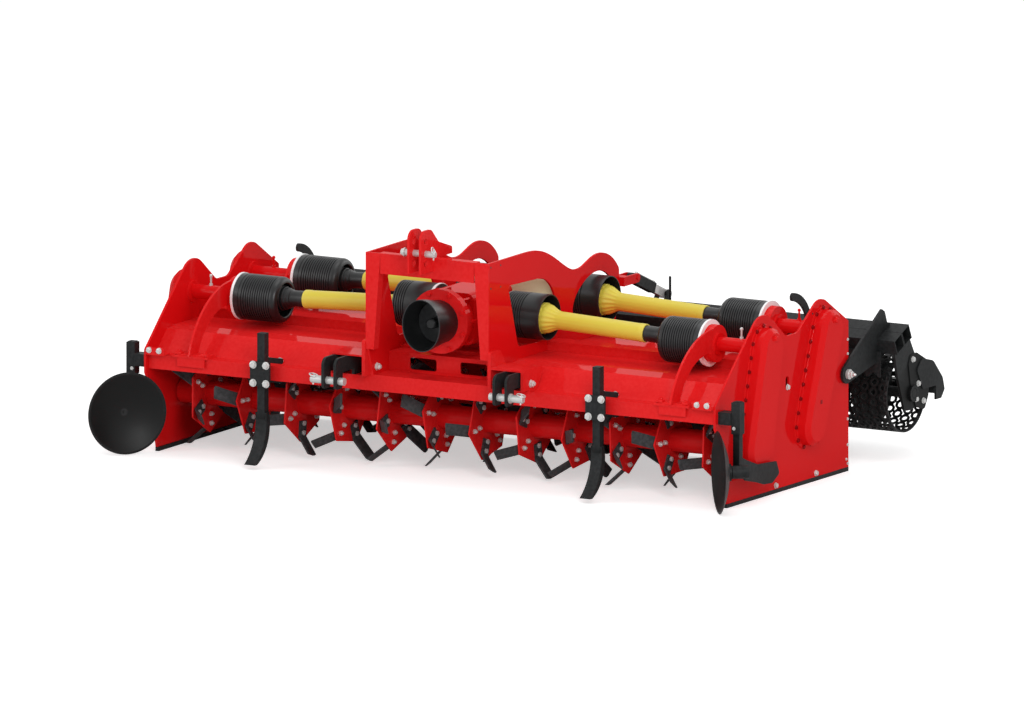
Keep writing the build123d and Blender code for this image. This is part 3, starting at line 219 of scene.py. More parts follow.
def makeFinish(name, finish):
    # tone mixes the dark and light colours, pointiness lifts the edges to the edge colour as a painted highlight,
    # grain feeds a small bump
    material = bpy.data.materials.new(name)
    material.use_nodes = True
    nodes = material.node_tree.nodes
    shader = nodes["Principled BSDF"]
    grain = nodes.new("ShaderNodeGroup")
    grain.node_tree = grainGroup
    setInputs(grain, {key: finish[key] for key in ("grainScale", "toneScale")})
    edgeHighlight = nodes.new("ShaderNodeGroup")
    edgeHighlight.node_tree = edgeGroup
    body = nodes.new("ShaderNodeMix")
    body.data_type = "RGBA"
    body.inputs[6].default_value = linear(*finish["dark"])
    body.inputs[7].default_value = linear(*finish["light"])
    highlightedColour = nodes.new("ShaderNodeMix")
    highlightedColour.data_type = "RGBA"
    highlightedColour.inputs[7].default_value = linear(*finish["edge"])
    rough = nodes.new("ShaderNodeMapRange")
    smooth, coarse = finish["rough"]
    setInputs(rough, {"From Min": 0.3, "From Max": 0.7, "To Min": smooth, "To Max": coarse})
    bump = nodes.new("ShaderNodeBump")
    setInputs(bump, {"Strength": finish["grainDepth"], "Distance": 0.0006})
    wire(
        material.node_tree, (grain, "tone", body, 0), (body, 2, highlightedColour, 6), (edgeHighlight, "mask", highlightedColour, 0),
        (highlightedColour, 2, shader, "Base Color"), (grain, "tone", rough, "Value"),
        (rough, "Result", shader, "Roughness"), (grain, "grainHeight", bump, "Height"),
        (bump, "Normal", shader, "Normal"),
    )
    setInputs(shader, {
        "Metallic": finish["metal"], "Coat Weight": finish["coat"],
        "Coat Roughness": finish["coatRough"], "Coat IOR": finish["coatIor"],
        "Specular IOR Level": finish["specular"],
    })
    return material


# a darker copy of the red paint: painted shade, for the case bolts and the small patch on the rear case
finishes["shaded_red"] = dict(
    finishes["red_paint"], dark=(112, 12, 16), light=(126, 15, 18), edge=(168, 24, 28)
)
materials = {name: makeFinish(name, finish) for name, finish in finishes.items()}
for name, piece in cadNodes.items():
    piece.data.materials.clear()
    piece.data.materials.append(materials[slotOfNode[name]])
print("finishes made")


# Mesh building

def newPiece(name, points, faces, slot, body):
    # one mesh object at the origin, from arrays of points and of faces
    mesh = bpy.data.meshes.new(name)
    mesh.from_pydata(np.asarray(points).tolist(), [], [list(face) for face in faces])
    mesh.validate()
    mesh.materials.append(materials[slot])
    mesh.update()
    piece = bpy.data.objects.new(name, mesh)
    bpy.context.scene.collection.objects.link(piece)
    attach(piece, body)
    return piece


def frames(axes, spins):
    # right-handed frames whose third axis is the given one: the first is square to it and to the
    # world axis it leans on least, turned by the spin
    axes = np.asarray(axes, float)
    axes = axes / np.linalg.norm(axes, axis=1, keepdims=True)
    helper = np.where(np.abs(axes[:, :1]) < 0.8, [[1.0, 0, 0]], [[0, 1.0, 0]])
    first = np.cross(helper, axes)
    first /= np.linalg.norm(first, axis=1, keepdims=True)
    second = np.cross(axes, first)
    c, s = np.cos(spins)[:, None], np.sin(spins)[:, None]
    return np.stack((first * c + second * s, second * c - first * s, axes), axis=1)


def joined(parts):
    # several pairs of points and faces as one
    starts = np.cumsum([0] + [len(points) for points, faces in parts])
    return np.concatenate([points for points, faces in parts]), [
        [v + start for v in face] for start, (points, faces) in zip(starts, parts) for face in faces
    ]


def repeatShape(shape, centres, axes, spins=None):
    # places copies of one shape: point = centre + local point times the copy's frame
    points, faces = shape
    centres = np.asarray(centres, float).reshape(-1, 3)
    axes = np.broadcast_to(np.asarray(axes, float), centres.shape)
    spins = np.zeros(len(centres)) if spins is None else np.asarray(spins, float)
    turned = np.einsum("pk,nkj->npj", points, frames(axes, spins)) + centres[:, None]
    allFaces = []
    for block in faces:
        block = np.asarray(block)
        shift = np.arange(len(centres))[:, None, None] * len(points)
        allFaces.extend((block[None] + shift).reshape(-1, block.shape[1]).tolist())
    return turned.reshape(-1, 3), allFaces


def ringWalls(rings, sides, closed=False):
    # quads between rings of points: point j of ring i, its neighbour j + 1, and the same two on
    # ring i + 1, which after the last ring is the first where the body is closed
    ring = np.arange(sides)
    after = np.roll(ring, -1)
    base = (np.arange(rings if closed else rings - 1) * sides)[:, None]
    above = np.roll(base, -1, axis=0) if closed else base + sides
    walls = np.stack((base + ring, base + after, above + after, above + ring), axis=2)
    return walls.reshape(-1, 4)


def lathe(radii, heights, sides, turn=0.0):
    # closed solid of revolution: ring i has radius radii[i] at height heights[i], with a cap at
    # each end
    angles = turn + np.arange(sides) * 2 * np.pi / sides
    radii, heights = np.asarray(radii, float), np.asarray(heights, float)
    points = np.stack((
        radii[:, None] * np.cos(angles), radii[:, None] * np.sin(angles),
        np.broadcast_to(heights[:, None], (len(radii), sides)),
    ), axis=2).reshape(-1, 3)
    ring = np.arange(sides)
    top = ring + (len(radii) - 1) * sides
    return points, [ringWalls(len(radii), sides), ring[::-1][None], top[None]]


def joinShapes(*shapes):
    # several shapes as one, each with its faces in blocks of one corner count
    points, faces, start = [], [], 0
    for shapePoints, shapeFaces in shapes:
        points.append(shapePoints)
        faces.extend([np.asarray(block) + start for block in shapeFaces])
        start += len(shapePoints)
    return np.concatenate(points), faces


def hexBolt(size):
    # washer, hexagonal head with its rounded top, size being the thread's diameter in metres
    head = lathe(
        np.array((0.87, 0.87, 0.82, 0.7)) * size, np.array((0.14, 0.66, 0.76, 0.8)) * size, 6
    )
    disc = lathe(np.array((1.05, 1.05)) * size, np.array((0.0, 0.14)) * size, 14)
    return joinShapes(disc, head)


def hexNut(size):
    # washer, nut and the stub of thread that stands out of it
    disc = lathe(np.array((1.05, 1.05)) * size, np.array((0.0, 0.14)) * size, 14)
    nut = lathe(
        np.array((0.8, 0.87, 0.87, 0.8)) * size, np.array((0.14, 0.2, 0.9, 0.96)) * size, 6
    )
    thread = lathe(np.array((0.5, 0.5, 0.42)) * size, np.array((0.9, 1.3, 1.36)) * size, 10)
    return joinShapes(disc, nut, thread)


def spinsFor(count):
    # fixed, uneven turns for a row of bolts: the golden angle times the index
    goldenAngle = 2.39996
    return np.arange(count) * goldenAngle


# Camera, lights and floor

view = dict(azimuth=29.7, elevation=10.15, width=4.855, distance=40.0)
lookAt = spot(0, 787.6, 441.2)
turn, rise = math.radians(view["azimuth"]), math.radians(view["elevation"])
back = np.array((
    math.cos(rise) * math.sin(turn), -math.cos(rise) * math.cos(turn), math.sin(rise)
))
cameraData = bpy.data.cameras.new("camera")
cameraData.type = "ORTHO"
cameraData.ortho_scale = view["width"]
cameraData.clip_end = 400
camera = bpy.data.objects.new("camera", cameraData)
camera.location = lookAt + back * view["distance"]
camera.rotation_euler = (math.pi / 2 - rise, 0, turn)
bpy.context.scene.collection.objects.link(camera)
bpy.context.scene.camera = camera
bpy.context.scene.view_settings.view_transform = "Standard"

lamps = (
    # name, place, aim, size, power
    ("keyLamp", (5.5, -6.5, 4.2), (0, 0, 0.4), 3.5, 270),
    ("fillLamp", (-6.5, -6.0, 3.6), (0, 0, 0.4), 4.0, 130),
    ("topLamp", (0.0, 0.5, 6.5), (0, 0, 0.5), 4.5, 110),
    ("rearLamp", (3.0, 7.0, 4.0), (0, 0, 0.5), 4.0, 90),
)
for name, place, aim, size, power in lamps:
    light = bpy.data.lights.new(name, "AREA")
    light.energy = power
    light.size = size
    lamp = bpy.data.objects.new(name, light)
    lamp.location = place
    toward = np.array(aim) - np.array(place)
    flat = math.hypot(toward[0], toward[1])
    lamp.rotation_euler = (math.atan2(flat, -toward[2]), 0, math.atan2(-toward[0], toward[1]))
    bpy.context.scene.collection.objects.link(lamp)

skyLight = dict(seen=1.0, lit=0.55)
world = bpy.data.worlds.new("studio")
bpy.context.scene.world = world
world.use_nodes = True
worldNodes = world.node_tree.nodes
sky = worldNodes["Background"]
rays = worldNodes.new("ShaderNodeLightPath")
seen = worldNodes.new("ShaderNodeMath")
seen.operation = "MAXIMUM"
strength = worldNodes.new("ShaderNodeMapRange")
shown = worldNodes.new("ShaderNodeMath")
shown.operation = "MAXIMUM"
setInputs(strength, {"To Min": skyLight["lit"], "To Max": skyLight["seen"]})
setInputs(sky, {"Color": (1, 1, 1, 1)})
wire(
    world.node_tree, (rays, "Is Camera Ray", seen, 0), (rays, "Is Transmission Ray", seen, 1),
    (seen, "Value", shown, 0), (rays, "Is Glossy Ray", shown, 1),
    (shown, "Value", strength, "Value"), (strength, "Result", sky, "Strength"),
)

floorLook = dict(size=150.0, colour=(0.86, 0.86, 0.86, 1), glow=0.52)
floorMesh = bpy.data.meshes.new("floor")
half = floorLook["size"] / 2
floorMesh.from_pydata(
    [(-half, -half, 0), (half, -half, 0), (half, half, 0), (-half, half, 0)], [], [(0, 1, 2, 3)]
)
floor = bpy.data.objects.new("floor", floorMesh)
bpy.context.scene.collection.objects.link(floor)
floorMaterial = bpy.data.materials.new("paleFloor")
floorMaterial.use_nodes = True
floorNodes = floorMaterial.node_tree.nodes
floorShader = floorNodes["Principled BSDF"]
setInputs(floorShader, {
    "Base Color": floorLook["colour"], "Roughness": 0.9, "Specular IOR Level": 0.0,
    "Emission Color": (1, 1, 1, 1),
})
floorRays = floorNodes.new("ShaderNodeLightPath")
glow = floorNodes.new("ShaderNodeMath")
glow.operation = "MULTIPLY"
glow.inputs[1].default_value = floorLook["glow"]
wire(
    floorMaterial.node_tree, (floorRays, "Is Camera Ray", glow, 0),
    (glow, "Value", floorShader, "Emission Strength"),
)
floorMesh.materials.append(floorMaterial)
print("camera, lamps and floor set")


def toSpots(places):
    # rows of width, length and height in drawing millimetres to metres in the shared frame
    return np.asarray(places, float).reshape(-1, 3) / 1000 + (0, plateFrontY, plateFootZ)


def turned(heights, radii, sides, wave=None, count=1):
    # closed ring body: a closed profile of heights and radii goes round the axis, and each ring's
    # radius may swell by wave * (cos(count * angle) clipped and squared off)
    heights, radii = np.asarray(heights, float), np.asarray(radii, float)
    angles = np.arange(sides) * 2 * np.pi / sides
    crest = np.clip(1.6 * np.cos(count * angles), -1, 1)
    wave = np.zeros(len(radii)) if wave is None else np.asarray(wave, float)
    reach = radii[:, None] + wave[:, None] * crest
    points = np.stack((
        reach * np.cos(angles), reach * np.sin(angles),
        np.broadcast_to(heights[:, None], reach.shape),
    ), axis=2).reshape(-1, 3)
    return points, [ringWalls(len(radii), sides, closed=True)]


def ringShape(radius, thickness, around=24, section=8):
    # torus: (R + r cos v) round the axis, r sin v along it
    v = np.arange(section)[::-1] * 2 * np.pi / section
    return turned(thickness * np.sin(v), radius + thickness * np.cos(v), around)


def roundedOutline(corners):
    # each corner (a, b, radius) becomes an arc that meets both its sides: the arc's ends lie
    # radius / tan(half the angle between the sides) away from the corner
    outline = []
    corners = np.asarray(corners, float)
    behind, ahead = np.roll(corners, 1, axis=0), np.roll(corners, -1, axis=0)
    for here, last, following in zip(corners, behind, ahead):
        point, radius = here[:2], here[2]
        toLast, toNext = last[:2] - point, following[:2] - point
        toLast, toNext = toLast / np.linalg.norm(toLast), toNext / np.linalg.norm(toNext)
        angle = math.acos(float(np.clip(toLast @ toNext, -1, 1)))
        if radius < 0.5 or angle > 3.1:
            outline.append(point[None])
            continue
        inward = (toLast + toNext) / np.linalg.norm(toLast + toNext)
        centre = point + inward * radius / math.sin(angle / 2)
        start = point + toLast * radius / math.tan(angle / 2) - centre
        end = point + toNext * radius / math.tan(angle / 2) - centre
        sweep = math.pi - angle
        t = np.linspace(0, 1, max(3, int(sweep / 0.13) + 1))[:, None]
        arc = np.sin((1 - t) * sweep) * start + np.sin(t * sweep) * end
        outline.append(centre + arc / math.sin(sweep))
    return np.concatenate(outline)


def flatPlate(name, outlines, across, slot, body, edge=0.8):
    # plates upright along the machine: outlines in (length, height) with holes inside, extruded
    # from one width to another, with a small round on the edges; one copy for each pair in across
    parts = []
    for first, last in across:
        curve = bpy.data.curves.new(name, "CURVE")
        curve.dimensions = "2D"
        curve.fill_mode = "BOTH"
        curve.extrude = (abs(last - first) / 2 - edge) / 1000
        curve.bevel_depth = edge / 1000
        curve.bevel_resolution = 1
        curve.offset = -edge / 1000
        for outline in outlines:
            spline = curve.splines.new("POLY")
            spline.points.add(len(outline) - 1)
            flat = np.zeros((len(outline), 4))
            flat[:, :2] = outline / 1000
            flat[:, 3] = 1
            spline.points.foreach_set("co", flat.ravel())
            spline.use_cyclic_u = True
        holder = bpy.data.objects.new(name + "Curve", curve)
        bpy.context.scene.collection.objects.link(holder)
        bpy.context.view_layer.update()
        mesh = bpy.data.meshes.new_from_object(holder)
        flat = np.zeros(len(mesh.vertices) * 3)
        mesh.vertices.foreach_get("co", flat)
        flat = flat.reshape(-1, 3)
        parts.append((np.stack((
            flat[:, 2] + (first + last) / 2000, flat[:, 0] + plateFrontY, flat[:, 1] + plateFootZ
        ), axis=1), [list(face.vertices) for face in mesh.polygons]))
        bpy.data.objects.remove(holder)
        bpy.data.curves.remove(curve)
        bpy.data.meshes.remove(mesh)
    return smoothByAngle(newPiece(name, *joined(parts), slot, body))


def smoothByAngle(piece, angle=32):
    # smooth faces that stay sharp where they meet at more than the angle, in degrees
    piece.data.shade_smooth()
    piece.data.set_sharp_from_angle(angle=math.radians(angle))
    return piece


def bothHands(rows):
    # the rows and their copies on the other side, whose first number changes sign
    rows = np.asarray(rows, float)
    return np.concatenate((rows, rows * ((-1,) + (1,) * (rows.shape[1] - 1))))


def placed(name, shape, rows, axis, slot="zinc_steel", body="machine", smooth=False, spins=True):
    # copies of a shape at rows of drawing millimetres
    rows = np.asarray(rows, float).reshape(-1, 3)
    turns = spinsFor(len(rows)) if spins else np.zeros(len(rows))
    points, faces = repeatShape(shape, toSpots(rows), axis, turns)
    piece = newPiece(name, points, faces, slot, body)
    return smoothByAngle(piece) if smooth else piece


def onEachSide(name, shape, rows, axis, slot="zinc_steel", body="machine", spins=True):
    # one piece of copies on the right and its counterpart on the left
    rows, axis = np.asarray(rows, float), np.asarray(axis, float)
    return [
        placed(name + hand, shape, rows * flip, axis * flip, slot, body, spins=spins)
        for hand, flip in (("Right", (1, 1, 1)), ("Left", (-1, 1, 1)))
    ]


# Plates with smooth humps and arches

gearZ = 745.0
sidePlate = dict(
    inner=1548.0, outer=1560.0, edge=1.2, slot=(688.0, 494.0), slotHalf=16.0, slotReach=32.0,
    pin=(1233.0, 454.0, 15.0),
    corners=(
        (0, 375, 0), (0, 487, 12), (449, 893, 128), (676, 722, 60), (790, 720, 60),
        (1003, 868, 105), (1273, 704, 12), (1273, 0, 0), (110, 0, 0), (37, 317, 30),
    ),
)
centrePlate = dict(
    inner=323.0, outer=335.0, edge=1.2, archCentre=446.0, archRadius=180.0,
    front=((-18, 602), (-18, 1069)),
    top=(
        (300, 1069), (370, 1068), (430, 1063), (490, 1051), (550, 1030), (618, 998), (689, 959),
        (755, 927), (812, 914), (868, 917), (920, 933), (966, 948), (1015, 957), (1065, 955),
        (1112, 943), (1157, 921), (1196, 891), (1222, 862),
    ),
    back=(
        (1227, 850), (1227, 740), (1180, 572), (1110, 566), (290, 566), (290, 553), (187, 462),
        (28, 462),
    ),
    archFront=((262, 622, 40), (163, 934, 14)), archFoot=((560, 622, 20),),
    rearArch=(
        (826, 628), (792, 680), (784, 735), (822, 795), (900, 846), (975, 870), (1050, 870),
        (1120, 842), (1168, 792), (1182, 728), (1168, 665), (1128, 626), (1040, 613), (900, 613),
    ),
)


def circleOutline(y, z, radius, stretch=0.0, count=28):
    # circle, or with a stretch two half circles set apart in height
    angles = np.arange(count) * 2 * np.pi / count
    lift = np.sign(np.round(np.sin(angles), 6)) * stretch
    return np.stack((y + radius * np.cos(angles), z + radius * np.sin(angles) + lift), axis=1)


def smoothThrough(knots, closed=False, steps=7):
    # smooth curve through the knots: each span is the cubic whose end slopes are half the
    # difference of the knots on either side
    knots = np.asarray(knots, float)
    before = np.roll(knots, 1, axis=0)
    after = np.roll(knots, -1, axis=0)
    far = np.roll(knots, -2, axis=0)
    if not closed:
        before[0], after[-1] = knots[0], knots[-1]
        far[-2:] = knots[-1]
    t = (np.arange(steps) / steps)[None, :, None]
    p0, p1, p2, p3 = (k[:, None] for k in (before, knots, after, far))
    curve = 0.5 * (
        2 * p1 + (p2 - p0) * t + (2 * p0 - 5 * p1 + 4 * p2 - p3) * t ** 2
        + (3 * p1 - 3 * p2 + p3 - p0) * t ** 3
    )
    if not closed:
        return np.concatenate((curve[:-1].reshape(-1, 2), knots[-1:]))
    return curve.reshape(-1, 2)


def sidePlateOutlines(look):
    # the plate's edge, its upright slot and the pivot pin's hole
    return [
        roundedOutline(look["corners"]),
        circleOutline(*look["slot"], look["slotHalf"], look["slotReach"] - look["slotHalf"]),
        circleOutline(*look["pin"]),
    ]


def centrePlateOutlines(look):
    # the plate's edge, the front arch that ends in a round of one radius, and the rear arch
    turn = np.radians(np.arange(86, -40, -6))
    arc = np.column_stack((
        look["archCentre"] + look["archRadius"] * np.cos(turn),
        gearZ + look["archRadius"] * np.sin(turn), np.zeros(len(turn)),
    ))
    return [
        np.concatenate((look["front"], smoothThrough(look["top"]), look["back"])),
        roundedOutline(np.concatenate((look["archFront"], arc, look["archFoot"]))),
        smoothThrough(look["rearArch"], closed=True),
    ]


def widths(look):
    # where the right plate and the left one start and end across the machine
    return (look["inner"], look["outer"]), (-look["outer"], -look["inner"])


sidePlates = flatPlate(
    "sidePlates", sidePlateOutlines(sidePlate), widths(sidePlate), "red_paint", "machine",
    sidePlate["edge"],
)
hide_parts("side_plate_left", "side_plate_right")
centrePlates = flatPlate(
    "centrePlates", centrePlateOutlines(centrePlate), widths(centrePlate), "red_paint", "machine",
    centrePlate["edge"],
)
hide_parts("centre_plate_left", "centre_plate_right")
print("plates made")


# Chain cases

chainCase = dict(
    depth=72.0, bevel=22.0, flange=16.0, flangeDepth=6.0, round=5.0, count=120,
    bolt=0.010, boltLine=0.62, boltPitch=68.0,
)
caseCircles = {
    "frontCases": ((446.0, 700.0, 98.0), (338.0, 236.0, 114.0), "chain_cases_front"),
    "rearCases": ((1022.0, 700.0, 98.0), (860.0, 262.0, 92.0), "chain_cases_rear"),
}


def hullRing(top, foot, grow, count):
    # outline round two circles grown by grow: for each direction the farther of the two circles'
    # points centre + radius * direction
    angles = np.arange(count) * 2 * np.pi / count
    aim = np.stack((np.cos(angles), np.sin(angles)), axis=1)
    topPoint = np.array(top[:2]) + (top[2] + grow) * aim
    footPoint = np.array(foot[:2]) + (foot[2] + grow) * aim
    farther = (topPoint * aim).sum(1) > (footPoint * aim).sum(1)
    return np.where(farther[:, None], topPoint, footPoint)


def caseShape(top, foot, look, sign):
    # rings of the hull outline from the flange's foot to the bevelled face, the last one closed by
    # its own flat face
    depth, bevel, flange, flangeDepth, soft, count = (
        look[key] for key in ("depth", "bevel", "flange", "flangeDepth", "round", "count")
    )
    steps = (
        (flange, 0), (flange, flangeDepth - 1), (flange - 1, flangeDepth), (soft, flangeDepth),
        (soft * 0.3, flangeDepth + soft * 0.3), (0, flangeDepth + soft), (0, depth - bevel),
        (-bevel, depth),
    )
    rings = np.stack([
        np.column_stack((
            np.full(count, sign * (sidePlate["outer"] + x)), hullRing(top, foot, grow, count)
        )) for grow, x in steps
    ])
    ring = np.arange(count)
    faces = [
        ringWalls(len(steps), count), ring[::-1][None], (ring + (len(steps) - 1) * count)[None]
    ]
    return toSpots(rings), faces if sign > 0 else [block[:, ::-1] for block in faces]


def caseBoltRow(top, foot, look):
    # bolts evenly spaced along the flange: the outline's length is shared out by the pitch
    line = hullRing(top, foot, look["flange"] * look["boltLine"], 720)
    gaps = np.linalg.norm(np.roll(line, -1, axis=0) - line, axis=1)
    along = np.concatenate(([0], np.cumsum(gaps)))
    count = round(along[-1] / look["boltPitch"])
    wanted = (np.arange(count) + 0.5) * along[-1] / count
    closed = np.concatenate((line, line[:1]))
    return np.column_stack((
        np.full(count, sidePlate["outer"] + look["flangeDepth"]),
        np.interp(wanted, along, closed[:, 0]), np.interp(wanted, along, closed[:, 1]),
    ))


caseBolts = []
for name, (top, foot, node) in caseCircles.items():
    points, faceBlocks = joinShapes(*[caseShape(top, foot, chainCase, sign) for sign in (1, -1)])
    faces = [face for block in faceBlocks for face in block]
    case = newPiece(name, points, faces, "red_paint", "machine")
    smoothByAngle(case, 20)
    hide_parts(node)
    caseBolts.append(caseBoltRow(top, foot, chainCase))
# the case bolts take the darker red copy: painted shade round them
for piece in onEachSide(
    "caseBolts", hexBolt(chainCase["bolt"]), np.concatenate(caseBolts), (1, 0, 0), "red_paint"
):
    piece.data.materials[0] = materials["shaded_red"]
print("chain cases made")


# Shaft guards and cups

drive = dict(
    lengths=(446.0, 1022.0), innerX=227.0, innerZ=gearZ, outerZ=700.0, outerX=1273.0,
    tubeStart=364.0, tubeEnd=930.0, tubeRadius=43.5, coneRadius=74.0, tubeBore=39.0,
    slipEnd=1110.0, slipRadius=38.5, slipMouth=78.0, slipBore=31.0,
)
cup = dict(radius=110.0, ribPitch=12.0, ribDepth=4.0)


def ribRows(start, end, look):
    # saw of flat ribs: four profile points for each rib
    count = int(abs(end - start) / look["ribPitch"])
    step = (end - start) / count
    base = start + np.arange(count)[:, None] * step
    heights = (base + np.array((0.0, 0.56, 0.66, 0.9)) * step).ravel()
    crest, groove = look["radius"], look["radius"] - look["ribDepth"]
    return heights, np.tile((crest, crest, groove, groove), count)


def shoulder(height, radius, size, count=6):
    # quarter round from the end face to the outer wall: h + s (1 - sin t), r - s (1 - cos t)
    t = np.linspace(0, np.pi / 2, count)
    return height + size * (1 - np.sin(t)), radius - size * (1 - np.cos(t))


def outerCup(look):
    # from the open end with its round shoulder, along the ribs, over a plain band to the ring
    curveH, curveR = shoulder(1038.0, look["radius"], 26.0)
    ribH, ribR = ribRows(1066.0, 1226.0, look)
    heights = np.concatenate((
        curveH[::-1], ribH,
        (1227, 1238, 1238.5, 1243, 1243.5, 1269, 1269, 1264, 1264, 1070, 1043),
    ))
    radii = np.concatenate((
        curveR[::-1], ribR, (110, 110, 108, 108, 110, 110, 60, 60, 101, 103, 80),
    ))
    return turned(heights / 1000, radii / 1000, 72)


def innerCup(look, ribsFirst):
    # cup open towards the tube: ribs next to the gearbox and a plain mouth, or the other way round
    if ribsFirst:
        ribH, ribR = ribRows(200.0, 300.0, look)
        outerH = np.concatenate(((192, 199), ribH, (301, 386, 392, 400)))
        outerR = np.concatenate(((108, 110), ribR, (110, 110, 110, 109)))
    else:
        ribH, ribR = ribRows(330.0, 392.0, look)
        outerH = np.concatenate(((192, 199, 328), ribH, (393, 400)))
        outerR = np.concatenate(((108, 110, 110), ribR, (110, 109)))
    heights = np.concatenate((outerH, (400, 197, 197, 192)))
    radii = np.concatenate((outerR, (105, 103, 55, 55)))
    return turned(heights / 1000, radii / 1000, 72)


def cupPiece(name, rightShape, leftShape, height):
    # a cup round each drive line, the right side's and the left side's
    rows = toSpots([(0, y, height) for y in drive["lengths"]])
    parts = [repeatShape(rightShape, rows, (1, 0, 0)), repeatShape(leftShape, rows, (-1, 0, 0))]
    return smoothByAngle(newPiece(name, *joined(parts), "black_plastic", "machine"), 28)


outerCups = cupPiece("outerCups", outerCup(cup), outerCup(cup), drive["outerZ"])
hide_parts("outer_guard_cups")
innerCups = cupPiece("innerCups", innerCup(cup, True), innerCup(cup, False), drive["innerZ"])
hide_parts("inner_guard_cups")
collar = turned(mm(0, 0, 1.5, 12.5, 14, 14), mm(60, 110.8, 111.6, 111.6, 110.8, 60), 72)
placed(
    "innerRings", collar, [(-194.0, y, drive["innerZ"]) for y in drive["lengths"]], (-1, 0, 0),
    "white_plastic", smooth=True, spins=False,
)


def yellowGuard(look):
    # tube with a flared cone: the cone swells by sixteen flat flutes that fade along it, and its
    # rim is a notched band
    start, end = look["tubeStart"] - look["innerX"], look["tubeEnd"] - look["innerX"]
    cone, tube, bore = look["coneRadius"], look["tubeRadius"], look["tubeBore"]
    t = np.linspace(0, 1, 12)
    flareH = start + 20 + t * 78
    flareR = cone - 3 + (tube - cone + 3) * (0.5 - 0.5 * np.cos(np.pi * t ** 0.92))
    flareWave = 1.6 * np.sin(np.pi * t) ** 0.8
    heights = np.concatenate((
        (start, start + 2, start + 16, start + 18), flareH, (end - 34, end - 32, end - 2, end),
        (end, start + 96, start + 20, start),
    ))
    radii = np.concatenate((
        (cone - 2, cone, cone, cone - 3), flareR, (tube, tube + 1.2, tube + 1.2, tube),
        (bore, bore, 66.0, cone - 6),
    ))
    wave = np.concatenate(((1.6, 1.6, 1.6, 1.6), flareWave, np.zeros(8)))
    return turned(heights / 1000, radii / 1000, 128, wave / 1000, 16)


def slipGuard(look):
    # plain slip tube, then rings that step out to the cup's mouth
    start, end = look["tubeEnd"] - look["innerX"] - 20, look["slipEnd"] - look["innerX"]
    tube, mouth, bore = look["slipRadius"], look["slipMouth"], look["slipBore"]
    ring = np.repeat(np.arange(7), 2)
    stepH = end - 108 + ring * 16 + np.tile((0, 13), 7)
    stepR = 44 + ring * 5.4 + np.tile((0.0, 2.0), 7)
    heights = np.concatenate(((start, end - 124, end - 110), stepH, (end, end, end - 20, start)))
    radii = np.concatenate(((tube, tube, 40), stepR, (mouth, 72, bore, bore)))
    return turned(heights / 1000, np.minimum(radii, mouth) / 1000, 64)


slope = np.array((drive["outerX"] - drive["innerX"], 0, drive["outerZ"] - drive["innerZ"]))
slope /= np.linalg.norm(slope)
for name, shape, slot, node in (
    ("yellowGuards", yellowGuard(drive), "yellow_plastic", "shaft_guards_yellow"),
    ("slipGuards", slipGuard(drive), "black_plastic", "shaft_guards_black"),
):
    parts = []
    for sign in (1, -1):
        rows = [(sign * drive["innerX"], y, drive["innerZ"]) for y in drive["lengths"]]
        parts.append(repeatShape(shape, toSpots(rows), slope * (sign, 1, 1)))
    guard = newPiece(name, *joined(parts), slot, "machine")
    smoothByAngle(guard, 30)
    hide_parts(node)
print("shaft guards made")


# Input guard: an oval mouth that narrows to a round root on the gearbox face

inputGuard = dict(front=-84.0, back=90.0, mouth=(103.0, 126.0), root=104.0, wall=4.0, centreZ=750.0)


def ovalGuard(look, around=96, along=14):
    # for t from mouth to root and angle a: x = rx(t) cos a, z = rz(t) sin a, both radii eased from
    # the mouth's to the root's; the inner wall is the same less the wall
    t = np.linspace(0, 1, along)
    ease = t * t * (3 - 2 * t)
    mouthX, mouthZ = look["mouth"]
    a = np.arange(around) * 2 * np.pi / around
    rows = []
    for shrink, order in ((0.0, slice(None)), (look["wall"], slice(None, None, -1))):
        radiusX = (mouthX + (look["root"] - mouthX) * ease - shrink)[order, None]
        radiusZ = (mouthZ + (look["root"] - mouthZ) * ease - shrink)[order, None]
        length = (look["front"] + (look["back"] - look["front"]) * t)[order, None]
        centre = (look["centreZ"] + (gearZ - look["centreZ"]) * t)[order, None]
        rows.append(np.stack((
            radiusX * np.cos(a), np.broadcast_to(length, (along, around)),
            centre + radiusZ * np.sin(a),
        ), axis=2))
    walls = ringWalls(2 * along, around, closed=True)
    return toSpots(np.concatenate(rows).reshape(-1, 3)), walls[:, (0, 3, 2, 1)]


guard = newPiece("inputGuard", *ovalGuard(inputGuard), "black_plastic", "machine")
smoothByAngle(guard, 40)
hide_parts("input_guard")
# a black disc inside the guard and a black cap over the shaft's end: painted shade over the gearbox face and shaft
# seen through the guard
shadeDiscPoints, (shadeDiscFaces,) = turned(mm(66, 66, 70, 70), mm(98, 24, 24, 98), 56)
capPoints, capFaces = lathe(mm(20, 26, 26), mm(0, 5, 60), 28)
placed("guardLiner", joinShapes(
    (shadeDiscPoints, [shadeDiscFaces[:, ::-1]]), (capPoints + mm(0, 0, 6), capFaces)
), [(0, 0, gearZ)], (0, 1, 0), "black_plastic", smooth=True, spins=False)
print("input guard made")


# Perforated drum with its ends and axle

drum = dict(
    holePitch=50.0, holeRadius=14.0, wall=6.0, halfLength=1625.0, endInset=180.0, endDepth=10.0,
    axleRadius=25.0, axleHalf=1670.0, rim=18.0, hub=0.24, sides=56,
)


